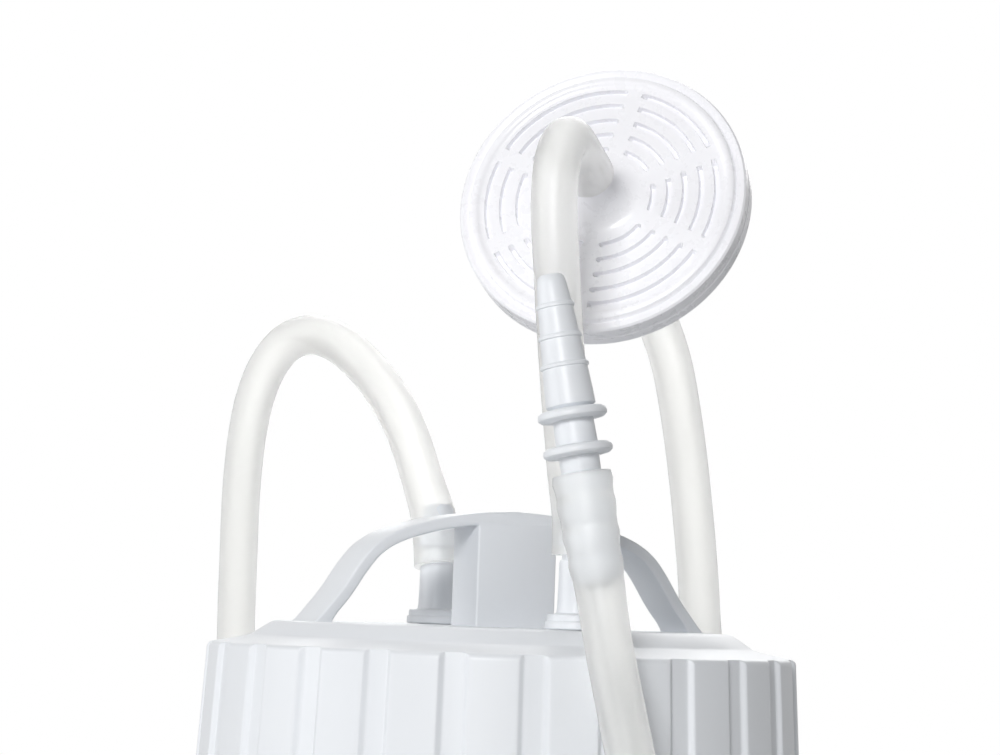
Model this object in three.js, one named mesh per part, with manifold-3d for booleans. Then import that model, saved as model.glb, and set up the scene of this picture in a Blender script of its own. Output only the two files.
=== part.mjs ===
// Suction pump: a mains pump housing on a tray, and beside it a two litre collection jar
// with its screw lid, float valve, filter and silicone hoses.
// Millimetres, +Z up, front towards -Y, origin under the middle of the tray on the table.
import * as THREE from 'three';
import { mergeVertices } from 'three/addons/utils/BufferGeometryUtils.js';
import Module from 'manifold-3d';

const wasm = await Module();
wasm.setup();

// ---- Driving dimensions ----
const GAP = 0.3; // clearance between pieces that touch
const TRAY = { x: 330, y: 210, corner: 24, low: 6, high: 26, wall: 3 };
const FOOT = { r: 11, inset: 30 };
const JAR = { x: -92, y: -10, r: 62, wall: 2.5, low: 14.3, neck: 60.5, rim: 207 };
const LID = { r: 66.5, skirtR: 68, low: 184, high: 210, top: 216, bossR: 51.4 };
const FLUTE = { count: 25, width: 6.6, depth: 1.1, firstDeg: -34.6 };
const HANDLE = { foot: 48.4, width: 13.3, thick: 2.7, rise: 26, block: 19.7 };
const PORT = { offset: 36, shaftR: 4, flangeR: 6.8, topZ: 231.7 };
const HOSE = { r: 5, sides: 8 };
const HOUSING = { left: -34, right: 160, front: -88, back: 92, top: 165, corner: 16, bevel: 12, wall: 3 };
const HOUSING_LOW = TRAY.high + GAP;
const CHEEK_R = 72; // the hollow in the housing's left side, round the jar
const PANEL = { x: 72, z: 98, w: 136, h: 100, thick: 3 };
const GAUGE = { x: 42, z: 108, r: 27 };
const KNOB = { x: 110, z: 112, r: 15, depth: 15 };
const SWITCH = { x: 110, z: 68, w: 30, h: 20 };
const LAMP = { x: 76, z: 64, r: 4 };
const NIPPLE = { x: -14, y: 24 };
const BAIL = { left: 28, right: 132, pivotY: 52, gripY: -24, z: 171.5, r: 4 };
const SOCKET = { x: 110, z: 66, w: 32, h: 40 };
const MOTOR = { y: 28, z: 84, r: 30, left: 68, right: 132, shaftR: 4 };
const CRANK = { x: 35, throw: 3, discR: 9 };
const FILTER = { at: [-75.2, -21.6, 312.6], normal: [-0.643, -0.693, 0.327], r: 33.4, hub: 20 };
const COIL = { x: -60, y: 182, r: 52 };

// ---- Finishes ----
const finish = (color, roughness, metalness = 0) =>
  new THREE.MeshStandardMaterial({ color, roughness, metalness });
const WHITE = finish(0xe6e9ee, 0.45);
const CASE = finish(0xe3e5e8, 0.5);
const RED = finish(0xa8323a, 0.4);
const DARK = finish(0x2c2f33, 0.6);
const RUBBER = finish(0x3a3c3f, 0.85);
const STEEL = finish(0xb9bdc2, 0.35, 0.9);
const BRASS = finish(0xc7a45a, 0.35, 0.9);
const CLEAR = finish(0xeef2f5, 0.15);
const SILICONE = finish(0xf1f1ee, 0.4);
const GREEN = finish(0x3fae5a, 0.3);

// ---- Tools ----
// A closed geometry as a solid for cutting and joining.
function solidOf(geometry) {
  const flat = geometry.index ? geometry.toNonIndexed() : geometry;
  const bare = new THREE.BufferGeometry().setAttribute('position', flat.getAttribute('position'));
  const merged = mergeVertices(bare, 1e-4);
  const index = merged.index.array;
  const kept = [];
  for (let i = 0; i < index.length; i += 3) {
    const [a, b, c] = [index[i], index[i + 1], index[i + 2]];
    if (a !== b && b !== c && c !== a) kept.push(a, b, c);
  }
  const wrap = (triangles) =>
    new wasm.Manifold(
      new wasm.Mesh({
        numProp: 3,
        vertProperties: merged.attributes.position.array,
        triVerts: new Uint32Array(triangles),
      }),
    );
  const made = wrap(kept);
  return made.volume() > 0 ? made : wrap(kept.reverse());
}

function geometryOf(solid) {
  const mesh = solid.getMesh();
  const geometry = new THREE.BufferGeometry();
  geometry.setAttribute('position', new THREE.BufferAttribute(new Float32Array(mesh.vertProperties), 3));
  geometry.setIndex(new THREE.BufferAttribute(new Uint32Array(mesh.triVerts), 1));
  geometry.computeVertexNormals();
  return geometry;
}

function join(first, ...others) {
  return geometryOf(others.reduce((sum, g) => sum.add(solidOf(g)), solidOf(first)));
}

function cut(first, ...others) {
  return geometryOf(others.reduce((sum, g) => sum.subtract(solidOf(g)), solidOf(first)));
}

// A body turned about Z from [radius, z] pairs, which start and end on the axis or close.
function turned(profile, segments = 16) {
  const points = profile.map(([r, z]) => new THREE.Vector2(r, z));
  return new THREE.LatheGeometry(points, segments).rotateX(Math.PI / 2);
}

function ring(inner, outer, low, high, segments = 20) {
  return turned([[inner, low], [outer, low], [outer, high], [inner, high], [inner, low]], segments);
}

function drum(radius, low, high, segments = 14) {
  return new THREE.CylinderGeometry(radius, radius, high - low, segments)
    .rotateX(Math.PI / 2)
    .translate(0, 0, (low + high) / 2);
}

function block(x0, x1, y0, y1, z0, z1) {
  return new THREE.BoxGeometry(x1 - x0, y1 - y0, z1 - z0)
    .translate((x0 + x1) / 2, (y0 + y1) / 2, (z0 + z1) / 2);
}

function roundedRect(w, h, r) {
  const s = new THREE.Shape();
  s.absarc(w / 2 - r, h / 2 - r, r, 0, Math.PI / 2);
  s.absarc(r - w / 2, h / 2 - r, r, Math.PI / 2, Math.PI);
  s.absarc(r - w / 2, r - h / 2, r, Math.PI, Math.PI * 1.5);
  s.absarc(w / 2 - r, r - h / 2, r, Math.PI * 1.5, Math.PI * 2);
  return s;
}

// An outline raised from z = low to high, with its rims rounded by bevel, all inset by inset.
function raised(shape, low, high, bevel = 0, inset = 0, curveSegments = 2) {
  return new THREE.ExtrudeGeometry(shape, {
    depth: high - low - 2 * bevel,
    bevelEnabled: bevel > 0 || inset > 0,
    bevelThickness: bevel,
    bevelSize: bevel,
    bevelOffset: -bevel - inset,
    bevelSegments: bevel > 3 ? 3 : 1,
    curveSegments,
  }).translate(0, 0, low + bevel);
}

function tube(points, radius, steps, sides = HOSE.sides) {
  const circle = new THREE.Shape().absarc(0, 0, radius, 0, Math.PI * 2);
  const path = new THREE.CatmullRomCurve3(points.map((p) => new THREE.Vector3(...p)), false, 'centripetal');
  return new THREE.ExtrudeGeometry(circle, {
    steps,
    curveSegments: sides / 2,
    bevelEnabled: false,
    extrudePath: path,
  });
}

// A body made facing +Z is turned to face the front (-Y) or along +X.
const facingFront = (geometry, x, y, z) => geometry.rotateX(Math.PI / 2).translate(x, y, z);
const facingBack = (geometry, x, y, z) => geometry.rotateX(Math.PI / 2).rotateZ(Math.PI).translate(x, y, z);
const alongX = (geometry, x, y, z) => geometry.rotateY(Math.PI / 2).translate(x, y, z);

const pump = new THREE.Group();
const jarGroup = new THREE.Group();
jarGroup.position.set(JAR.x, JAR.y, 0);
pump.add(jarGroup);

function part(name, geometry, material, parent = pump) {
  const mesh = new THREE.Mesh(geometry, material.clone());
  mesh.name = name;
  parent.add(mesh);
  return mesh;
}

// ---- Tray and feet ----
function baseTray() {
  const slab = raised(roundedRect(TRAY.x, TRAY.y, TRAY.corner), TRAY.low, TRAY.high, 2);
  const collar = ring(JAR.r - 2, JAR.r + 6, TRAY.high - 2, TRAY.high + 14, 48).translate(JAR.x, JAR.y, 0);
  const seat = drum(JAR.r + 0.6, JAR.low - GAP, TRAY.high + 20, 48).translate(JAR.x, JAR.y, 0);
  const well = block(-14, 156, -84, 88, TRAY.low + TRAY.wall, TRAY.high + 5);
  return cut(join(slab, collar), seat, well);
}
part('base_tray', baseTray(), CASE);

const FOOT_AT = [-1, 1].flatMap((sx) =>
  [-1, 1].map((sy) => [sx * (TRAY.x / 2 - FOOT.inset), sy * (TRAY.y / 2 - FOOT.inset)]),
);
FOOT_AT.forEach(([x, y], i) => {
  const shape = turned([[0, 0], [FOOT.r - 1.5, 0], [FOOT.r, 1.5], [FOOT.r, 5.7], [0, 5.7]]);
  part(`foot_${i + 1}`, shape.translate(x, y, 0), RUBBER);
});

// ---- Housing ----
function housingOutline() {
  const h = HOUSING;
  const dx = h.left - JAR.x;
  const turn = Math.acos(dx / CHEEK_R);
  const s = new THREE.Shape();
  s.absarc(h.right - h.corner, h.back - h.corner, h.corner, 0, Math.PI / 2);
  s.absarc(h.left + h.corner, h.back - h.corner, h.corner, Math.PI / 2, Math.PI);
  s.absarc(JAR.x, JAR.y, CHEEK_R, turn, -turn, true);
  s.absarc(h.left + h.corner, h.front + h.corner, h.corner, Math.PI, Math.PI * 1.5);
  s.absarc(h.right - h.corner, h.front + h.corner, h.corner, Math.PI * 1.5, Math.PI * 2);
  return s;
}

function housingShell() {
  const h = HOUSING;
  const low = HOUSING_LOW - h.bevel;
  const outer = raised(housingOutline(), low, h.top, h.bevel, 0, 3);
  const inner = raised(housingOutline(), low - h.wall, h.top - h.wall, h.bevel - h.wall, h.wall, 3);
  const below = block(-200, 200, -200, 200, low - 10, HOUSING_LOW);
  const window = block(
    PANEL.x - PANEL.w / 2, PANEL.x + PANEL.w / 2, h.front - 1, h.front + h.wall + 1,
    PANEL.z - PANEL.h / 2, PANEL.z + PANEL.h / 2,
  );
  const nippleHole = drum(4.6, h.top - 10, h.top + 5).translate(NIPPLE.x, NIPPLE.y, 0);
  const socketHole = block(-14.5, 14.5, -6, 1, -18.5, 18.5).translate(SOCKET.x, h.back, SOCKET.z);
  const vents = [];
  for (let i = 0; i < 8; i++) {
    const y = -22 + i * 8;
    vents.push(block(h.right - 6, h.right + 1, y, y + 4, 56, 116));
  }
  return cut(outer, inner, below, window, nippleHole, socketHole, ...vents);
}
part('housing_shell', housingShell(), CASE);

function frontPanel() {
  const face = raised(roundedRect(PANEL.w - 2 * GAP, PANEL.h - 2 * GAP, 1), -PANEL.thick, 0);
  const back = raised(roundedRect(PANEL.w + 6, PANEL.h + 6, 2), -PANEL.thick - GAP - 2, -PANEL.thick - GAP);
  const web = raised(roundedRect(PANEL.w - 6, PANEL.h - 6, 2), -PANEL.thick - 1, -1);
  const at = (geometry, place) => geometry.translate(place.x - PANEL.x, place.z - PANEL.z, 0);
  const holes = [
    at(drum(GAUGE.r + GAP, -10, 5, 32), GAUGE),
    at(drum(5.3, -10, 5), KNOB),
    at(drum(LAMP.r + GAP, -10, 5), LAMP),
    at(raised(roundedRect(SWITCH.w + 2 * GAP, SWITCH.h + 2 * GAP, 0.5), -10, 5, 0, 0, 1), SWITCH),
  ];
  return facingFront(cut(join(face, web, back), ...holes), PANEL.x, HOUSING.front, PANEL.z);
}
part('front_panel', frontPanel(), DARK);

const SCREW_AT = [-1, 1].flatMap((sx) =>
  [-1, 1].map((sz) => [PANEL.x + sx * (PANEL.w / 2 - 7), PANEL.z + sz * (PANEL.h / 2 - 7)]),
);
SCREW_AT.forEach(([x, z], i) => {
  const head = turned([[0, GAP], [3.2, GAP], [3.2, 1.2], [2.2, 2.2], [0, 2.2]]);
  const slot = block(-0.5, 0.5, -4, 4, 1.2, 3);
  part(`panel_screw_${i + 1}`, facingFront(cut(head, slot), x, HOUSING.front, z), STEEL);
});

// ---- Vacuum gauge ----
const onPanel = (geometry, place) => facingFront(geometry, place.x, HOUSING.front, place.z);
const gaugeCase = [
  [0, -20], [27, -20], [27, GAP], [30, GAP], [30, 3.2], [29, 4.4],
  [26.3, 4.4], [26.3, 2], [25, 2], [25, -18], [0, -18],
];
part('gauge_case', onPanel(turned(gaugeCase, 28), GAUGE), STEEL);
part('gauge_dial', onPanel(ring(1.4, 24.4, -6, -5, 28), GAUGE), WHITE);
part('gauge_lens', onPanel(drum(25.8, 2.3, 3.8, 28), GAUGE), CLEAR);

function gaugeNeedle() {
  const outline = [[-7, -1.2], [-7, 1.2], [19, 0.35], [19, -0.35]];
  const pointer = new THREE.Shape(outline.map((p) => new THREE.Vector2(...p)));
  const blade = raised(pointer, -4, -3);
  const hub = drum(2.6, -4.2, -2.6);
  const spindle = drum(1, -16, -3, 12);
  return join(hub, blade, spindle).rotateZ(THREE.MathUtils.degToRad(225));
}
part('gauge_needle', onPanel(gaugeNeedle(), GAUGE), RED);

// ---- Vacuum regulator ----
function regulatorValve() {
  const body = turned([
    [0, -34], [3, -34], [3, -26], [9, -26], [9, -PANEL.thick - 2.6], [5, -PANEL.thick - 2.6], [5, 0.2],
    [3, 0.2], [3, 10], [0, 10],
  ]);
  return onPanel(body, KNOB);
}
part('regulator_valve', regulatorValve(), BRASS);

function regulatorKnob() {
  const body = turned([
    [3.3, 0.5], [KNOB.r, 0.5], [KNOB.r, 3], [KNOB.r - 1.5, 4], [KNOB.r - 2.4, KNOB.depth - 2],
    [KNOB.r - 4.4, KNOB.depth], [0, KNOB.depth], [0, 10.4], [3.3, 10.4], [3.3, 0.5],
  ]);
  const grips = Array.from({ length: 10 }, (_, i) =>
    drum(1.6, 4.2, KNOB.depth + 1, 6).translate(KNOB.r - 1, 0, 0).rotateZ((i * Math.PI) / 5),
  );
  return onPanel(cut(body, ...grips), KNOB);
}
part('regulator_knob', regulatorKnob(), DARK);

// ---- Power switch and lamp ----
function switchFrame() {
  const bezel = raised(roundedRect(SWITCH.w + 5, SWITCH.h + 5, 2.5), GAP, 2.4, 0.6);
  const body = block(-SWITCH.w / 2, SWITCH.w / 2, -SWITCH.h / 2, SWITCH.h / 2, -18, 1);
  const well = block(-13.4, 13.4, -8, 8, -15, 4);
  return onPanel(cut(join(bezel, body), well), SWITCH);
}
part('switch_frame', switchFrame(), DARK);

const ROCKER_TILT = 8;
function powerRocker() {
  const side = [[-10, -5], [10, -5], [12.3, 3.4], [0, 1.6], [-12.3, 3.4]];
  const shape = new THREE.Shape(side.map((p) => new THREE.Vector2(...p)));
  const body = raised(shape, -7.6, 7.6, 0.4);
  return onPanel(body.rotateX(Math.PI / 2).rotateY(THREE.MathUtils.degToRad(ROCKER_TILT)), SWITCH);
}
part('power_rocker', powerRocker(), GREEN);
part('power_lamp', onPanel(turned([
  [0, -12], [LAMP.r, -12], [LAMP.r, GAP], [5.6, GAP], [5.6, 1.4], [LAMP.r, 2], [2.6, 3.4], [0, 3.8],
]), LAMP), GREEN);

// ---- Inlet nipple on the housing ----
part('inlet_nipple', turned([
  [1.8, 148], [4.2, 148], [4.2, 165.3], [7, 165.3], [7, 167.6], [4, 168.2], [4, 177.6], [1.8, 177.6], [1.8, 148],
]).translate(NIPPLE.x, NIPPLE.y, 0), WHITE);

// ---- Carry handle, folded down on the housing ----
function carryHandle() {
  const b = BAIL;
  const side = [[0, b.pivotY], [0, 30], [0, 6], [5, -14], [20, b.gripY]];
  const bail = tube([
    ...side.map(([x, y]) => [b.left + x, y, b.z]),
    [(b.left + b.right) / 2, b.gripY - 1, b.z],
    ...side.reverse().map(([x, y]) => [b.right - x, y, b.z]),
  ], b.r, 20, 8);
  const eyes = [b.left, b.right].map((x) => alongX(drum(5, -4, 4), x, b.pivotY, b.z));
  const bores = [b.left, b.right].map((x) => alongX(drum(2.3, -6, 6), x, b.pivotY, b.z));
  return cut(join(bail, ...eyes), ...bores);
}
part('carry_handle', carryHandle(), DARK);
[['left', BAIL.left, -1], ['right', BAIL.right, 1]].forEach(([side, x, out]) => {
  const inner = x + out * 4.6;
  const outer = x + out * 11;
  const cheek = block(Math.min(inner, outer), Math.max(inner, outer), BAIL.pivotY - 6, BAIL.pivotY + 6, 165.3, 177);
  const pin = alongX(drum(2, -5.4, 5.4), x + out * 1.4, BAIL.pivotY, BAIL.z);
  part(`handle_bracket_${side}`, join(cheek, pin), DARK);
});

// ---- Mains inlet at the back ----
function mainsInlet() {
  const w = SOCKET.w;
  const plate = raised(roundedRect(w, SOCKET.h, 3), GAP, 2.4);
  const body = block(-14, 14, -18, 18, -22, 1);
  const socket = raised(roundedRect(23, 15.4, 3), -18, 5).translate(0, 7, 0);
  const drawer = block(-9, 9, -15.4, -6.6, -17, 5);
  const shell = cut(join(plate, body), socket, drawer);
  const pins = [[-7, 5.4], [0, 9], [7, 5.4]].map(([x, y]) => block(x - 1, x + 1, y - 2, y + 2, -19, -2));
  return facingBack(join(shell, ...pins), SOCKET.x, HOUSING.back, SOCKET.z);
}
part('mains_inlet', mainsInlet(), DARK);
const drawerFace = raised(roundedRect(20, 10.4, 1.5), 2.7, 4.6).translate(0, -11, 0);
const drawerBody = block(-8.7, 8.7, -15.1, -6.9, -14, 3);
const fuseBay = block(-6.5, 6.5, -13.2, -5, -12, -1);
part('fuse_drawer', facingBack(cut(join(drawerFace, drawerBody), fuseBay), SOCKET.x, HOUSING.back, SOCKET.z), DARK);

// ---- Motor and pump inside ----
const PLATE_Z = 40;
const MOUNT_AT = [[16, -14], [138, -14], [16, 70], [138, 70]];
part('mounting_plate', cut(
  block(2, 152, -26, 82, PLATE_Z, PLATE_Z + 2),
  ...MOUNT_AT.map(([x, y]) => drum(2.6, 30, 50).translate(x, y, 0)),
), STEEL);
MOUNT_AT.forEach(([x, y], i) => {
  const waist = turned([[0, 9.3], [8, 9.3], [8, 16], [6, 21], [6, 28], [8, 33], [8, 39.7], [0, 39.7]], 12);
  part(`rubber_mount_${i + 1}`, waist.translate(x, y, 0), RUBBER);
});

function motorBody() {
  const half = (MOTOR.right - MOTOR.left) / 2;
  const can = alongX(drum(MOTOR.r, -half, half, 40), MOTOR.left + half, MOTOR.y, MOTOR.z);
  const saddle = block(76, 124, MOTOR.y - 20, MOTOR.y + 20, PLATE_Z + 2.3, MOTOR.z - 20);
  const bore = alongX(drum(MOTOR.shaftR + 0.5, -half - 5, half + 5), MOTOR.left + half, MOTOR.y, MOTOR.z);
  return cut(join(can, saddle), bore);
}
part('motor_body', motorBody(), STEEL);
part('motor_shaft', alongX(drum(MOTOR.shaftR, 14, 150), 0, MOTOR.y, MOTOR.z), STEEL);

const eccentric = cut(
  drum(CRANK.discR, -5, 5, 20).translate(0, CRANK.throw, 0),
  drum(MOTOR.shaftR + GAP, -8, 8),
);
part('eccentric', alongX(eccentric, CRANK.x, MOTOR.y, MOTOR.z), BRASS);

function coolingFan() {
  const hub = ring(MOTOR.shaftR + GAP, 8, -4, 4, 24);
  const blades = Array.from({ length: 6 }, (_, i) =>
    block(7, 24, -1, 1, -4, 4).rotateX(0.5).rotateZ((i * Math.PI) / 3),
  );
  return alongX(join(hub, ...blades), 142, MOTOR.y, MOTOR.z);
}
part('cooling_fan', coolingFan(), DARK);

function crankcase() {
  const shell = block(12, 58, 2, 54, PLATE_Z + 2.3, 116);
  const hollow = block(20, 50, -5, 60, 54, 110);
  const bearing = alongX(drum(MOTOR.shaftR + 0.5, 5, 65), 0, MOTOR.y, MOTOR.z);
  const rodHole = drum(6, 100, 120).translate(CRANK.x, MOTOR.y, 0);
  return cut(shell, hollow, bearing, rodHole);
}
part('crankcase', crankcase(), STEEL);

function conRod() {
  const eye = alongX(ring(16, 19.5, -4, 4, 24), CRANK.x, MOTOR.y, MOTOR.z);
  const stem = drum(4, MOTOR.z + 18, 121.7).translate(CRANK.x, MOTOR.y, 0);
  return join(eye, stem);
}
part('con_rod', conRod(), STEEL);
part('piston', drum(16, 122, 128, 24).translate(CRANK.x, MOTOR.y, 0), RUBBER);
part('pump_cylinder', ring(16.7, 20, 116.3, 133, 24).translate(CRANK.x, MOTOR.y, 0), STEEL);

function pumpHead() {
  const cap = block(CRANK.x - 21, CRANK.x + 21, MOTOR.y - 21, MOTOR.y + 21, 133.3, 145);
  const inlet = alongX(drum(3, -10, 2), CRANK.x - 21, MOTOR.y, 139);
  const bores = [
    alongX(drum(1.5, -12, 12), CRANK.x - 21, MOTOR.y, 139),
    drum(1.5, 130, 150).translate(CRANK.x - 9, MOTOR.y, 0),
    drum(3, 130, 150).translate(CRANK.x + 11, MOTOR.y, 0),
  ];
  return cut(join(cap, inlet), ...bores);
}
part('pump_head', pumpHead(), STEEL);
part('exhaust_silencer', ring(3, 10, 145.3, 159, 24).translate(CRANK.x + 11, MOTOR.y, 0), DARK);
part('inner_tube', tube([
  [NIPPLE.x, NIPPLE.y, 147.6], [NIPPLE.x, NIPPLE.y, 136], [-13, 25, 129], [-10, 27, 127], [-5, 28, 131],
  [-2, 28, 138.8], [3, MOTOR.y, 139],
], 3.5, 16, 8), SILICONE);

// ---- Collection jar ----
function jarBody() {
  const { r, wall, low, neck, rim } = JAR;
  const corner = 6;
  const outer = [[0, low], [r - corner, low]];
  const inner = [];
  for (let i = 1; i <= 2; i++) {
    const a = (i * Math.PI) / 4;
    outer.push([r - corner + corner * Math.sin(a), low + corner * (1 - Math.cos(a))]);
    inner.push([r - corner + (corner - wall) * Math.sin(a), low + corner - (corner - wall) * Math.cos(a)]);
  }
  return turned([
    ...outer, [r, 194], [neck, 197], [neck, rim], [neck - wall, rim], [neck - wall, 197], [r - wall, 194],
    ...inner.reverse(), [0, low + wall],
  ], 36);
}
part('jar', jarBody(), CLEAR, jarGroup);

// ---- Jar lid with its handle ----
// The handle's outer line from its foot to its crown, as [x, height] on one side.
const HANDLE_LINE = [
  [HANDLE.foot, -0.6], [42.6, 7], [38, 14], [35.4, 17.3], [32.2, 19.5], [28.2, 21.3], [17.2, 24.2], [8.5, 25.4],
  [0, HANDLE.rise],
];

function handleStrap() {
  const right = HANDLE_LINE.map(([x, z]) => new THREE.Vector2(x, z));
  const left = right.slice(0, -1).reverse().map((p) => new THREE.Vector2(-p.x, p.y));
  const outer = [...right, ...left];
  const inner = outer.map((p, i) => {
    const before = outer[Math.max(i - 1, 0)];
    const after = outer[Math.min(i + 1, outer.length - 1)];
    const along = after.clone().sub(before).normalize();
    return new THREE.Vector2(p.x - along.y * HANDLE.thick, Math.max(p.y + along.x * HANDLE.thick, -0.6));
  });
  const shape = new THREE.Shape([...outer, ...inner.reverse()]);
  return raised(shape, -HANDLE.width / 2, HANDLE.width / 2).rotateX(Math.PI / 2);
}

function jarLid() {
  const { r, skirtR, low, high, top, bossR } = LID;
  const body = turned([
    [0, top], [bossR, top], [55, 213.6], [64.6, 212], [r, high], [skirtR, low],
    [skirtR - 3.4, low], [r - 2.7, 206], [r - 3.4, 210.6], [50, 210.6], [48.6, 213.2], [0, 213.2],
  ], 48);
  const [halfBlock, halfWidth] = [HANDLE.block / 2, HANDLE.width / 2];
  const column = block(-halfBlock, halfBlock, -halfWidth, halfWidth, -0.6, HANDLE.rise - 1);
  const grip = join(handleStrap(), column).translate(0, 0, top);
  // The flutes follow the skirt, which leans out towards its foot.
  const lean = Math.atan((skirtR - r) / (high - low));
  const cutters = Array.from({ length: FLUTE.count }, (_, i) =>
    block(-FLUTE.width / 2, FLUTE.width / 2, -3, FLUTE.depth, low - high - 2, 0.6)
      .rotateX(-lean)
      .translate(0, -r, high)
      .rotateZ(THREE.MathUtils.degToRad(FLUTE.firstDeg) + (2 * Math.PI * i) / FLUTE.count),
  );
  const holes = [-1, 1].map((side) => drum(4, 205, 220).translate(0, side * PORT.offset, 0));
  return cut(join(body, grip), ...cutters, ...holes);
}
part('jar_lid', jarLid(), WHITE, jarGroup);

const portProfile = (stemLow) => [
  [1.6, stemLow], [3.7, stemLow], [3.7, LID.top + GAP], [PORT.flangeR, LID.top + GAP], [PORT.flangeR, LID.top + 2],
  [PORT.flangeR - 0.5, LID.top + 2.2], [PORT.flangeR - 0.5, LID.top + 3.4], [PORT.shaftR, LID.top + 3.5],
  [PORT.shaftR, PORT.topZ], [1.6, PORT.topZ], [1.6, stemLow],
];
part('patient_port', turned(portProfile(192), 20).translate(0, PORT.offset, 0), WHITE, jarGroup);
part('vacuum_port', turned(portProfile(202), 20).translate(0, -PORT.offset, 0), WHITE, jarGroup);
part('lid_gasket', ring(57.6, 61.8, JAR.rim + GAP, 210.2, 32), RUBBER, jarGroup);

// ---- Float valve under the vacuum port ----
function floatCage() {
  const tubeWall = turned([
    [6, 150], [12, 150], [12, 212.9], [4.2, 212.9], [4.2, 210.9], [10.5, 210.9], [10.5, 152], [6, 152], [6, 150],
  ]);
  const windows = [0, 1, 2].map((i) => block(0, 15, -3, 3, 160, 198).rotateZ((i * Math.PI * 2) / 3));
  return cut(tubeWall, ...windows).translate(0, -PORT.offset, 0);
}
part('float_cage', floatCage(), WHITE, jarGroup);
part('float_cup', turned([
  [0, 152.4], [8.6, 152.4], [9.6, 154], [9.6, 172], [8.4, 174], [0, 174],
]).translate(0, -PORT.offset, 0), finish(0xd9772e, 0.5), jarGroup);
part('float_seal', drum(5.4, 174.3, 177).translate(0, -PORT.offset, 0), RUBBER, jarGroup);

// ---- Filter between the lid and the pump ----
const filterGroup = new THREE.Group();
filterGroup.position.set(...FILTER.at);
const filterNormal = new THREE.Vector3(...FILTER.normal).normalize();
filterGroup.quaternion.setFromUnitVectors(new THREE.Vector3(0, 0, 1), filterNormal);
pump.add(filterGroup);
function filterShell(facing) {
  const half = turned([
    [1.8, 1.6], [29, 1.6], [29.6, 0.4], [FILTER.r, 0.4], [FILTER.r, 3.7], [29.8, 4.6],
    [6, 5], [3.5, 7], [3.5, FILTER.hub], [1.8, FILTER.hub], [1.8, 1.6],
  ]);
  return facing > 0 ? half : half.rotateX(Math.PI);
}
part('filter_front_shell', filterShell(1), CLEAR, filterGroup);
part('filter_rear_shell', filterShell(-1), CLEAR, filterGroup);
part('filter_membrane', drum(28.4, -0.4, 0.4, 28), WHITE, filterGroup);

// ---- Hoses ----
const filterPoint = (along) => new THREE.Vector3(...FILTER.at).addScaledVector(filterNormal, along).toArray();
// From the vacuum port up and over in a hairpin to the filter's front.
const LID_HOSE = [
  [-92, -46, 232.1], [-92, -46, 236], [-92.8, -46.6, 241], [-95.5, -48.2, 250], [-99, -51, 265],
  [-102, -53.6, 280], [-104.2, -55, 295], [-104.9, -54.6, 307], [-103.8, -53.3, 316.1], [-100.6, -49.7, 320.9],
  [-97, -45.7, 322.6], [-93.5, -41.7, 321.9], filterPoint(FILTER.hub + 1.5), filterPoint(FILTER.hub + 0.3),
];
part('filter_hose_lid', tube(LID_HOSE, HOSE.r, 16), SILICONE);
// From the filter's back in a bend down to the nipple on the housing.
const PUMP_HOSE = [
  filterPoint(-FILTER.hub - 0.3), filterPoint(-FILTER.hub - 6), [-53.2, 1.8, 300.6], [-43.4, 9.9, 290.8],
  [-36, 15.6, 281.4], [-31, 19.6, 271], [-27.6, 21.4, 259], [-25, 22.4, 246], [-22.8, 22.8, 231],
  [-21.4, 22.6, 216], [-19, 22.8, 201], [-15.4, 23.6, 190], [NIPPLE.x, NIPPLE.y, 183], [NIPPLE.x, NIPPLE.y, 178],
];
part('filter_hose_pump', tube(PUMP_HOSE, HOSE.r, 16), SILICONE);
// From the patient port over in an arch, down behind the jar and into the coil on the table.
const PATIENT_HOSE = [
  [-92, 26, 232.1], [-92, 26, 236], [-92.4, 27.4, 242], [-94, 31, 251], [-96, 38.7, 263], [-98, 48.4, 273],
  [-100, 58.3, 280], [-102, 68.2, 285], [-104.2, 80.6, 287.6], [-105.8, 92.5, 286], [-106.6, 102.8, 280.6],
  [-106.4, 111.6, 272.6], [-105.6, 117.9, 263.6], [-104.8, 122.2, 253.6], [-104, 125, 243.8], [-103.2, 127, 231.4],
  [-102.8, 128, 219], [-102.4, 128.6, 208], [-102, 129.4, 160], [-102, 130, 110], [-101.8, 130, 66],
  [-98.4, 130, 44], [-89, 130, 30.6],
];
part('patient_hose', tube(PATIENT_HOSE, HOSE.r, 26), SILICONE);
// The spare hose wound flat behind the jar.
const coilRing = turned([
  [COIL.r - 5, 3], [COIL.r - 3, 0.2], [COIL.r + 3, 0.2], [COIL.r + 5, 3], [COIL.r + 5, 17.6], [COIL.r + 3, 20.4],
  [COIL.r - 3, 20.4], [COIL.r - 5, 17.6], [COIL.r - 5, 3],
]);
part('patient_hose_coil', coilRing.translate(COIL.x, COIL.y, 0), SILICONE);
// From the coil round the left of the tray to the front and up to the connector.
const HOSE_END = [
  [-112.6, 148.4, 5.2], [-117, 139, 5.2], [-127, 128, 5.2], [-142, 121, 5.2], [-158, 117.6, 5.2], [-172, 111, 5.2],
  [-182, 96, 5.2], [-185, 70, 5.2], [-183, 30, 5.2], [-181, -20, 5.2], [-181, -60, 5.2], [-178, -86, 5.2],
  [-167, -106, 5.2], [-150, -116, 6.4], [-132, -119, 12], [-117, -119, 24], [-107, -119, 42], [-102.4, -117.4, 66],
  [-101, -114.6, 96], [-100.6, -110, 126], [-101, -103.6, 154], [-102, -96, 180], [-102.6, -88, 199],
  [-102.7, -81.2, 213.5], [-103.1, -77.1, 225.7], [-104.9, -75.6, 237.4], [-106.5, -74.2, 248.4],
];
part('patient_hose_end', tube(HOSE_END, HOSE.r, 34), SILICONE);

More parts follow.
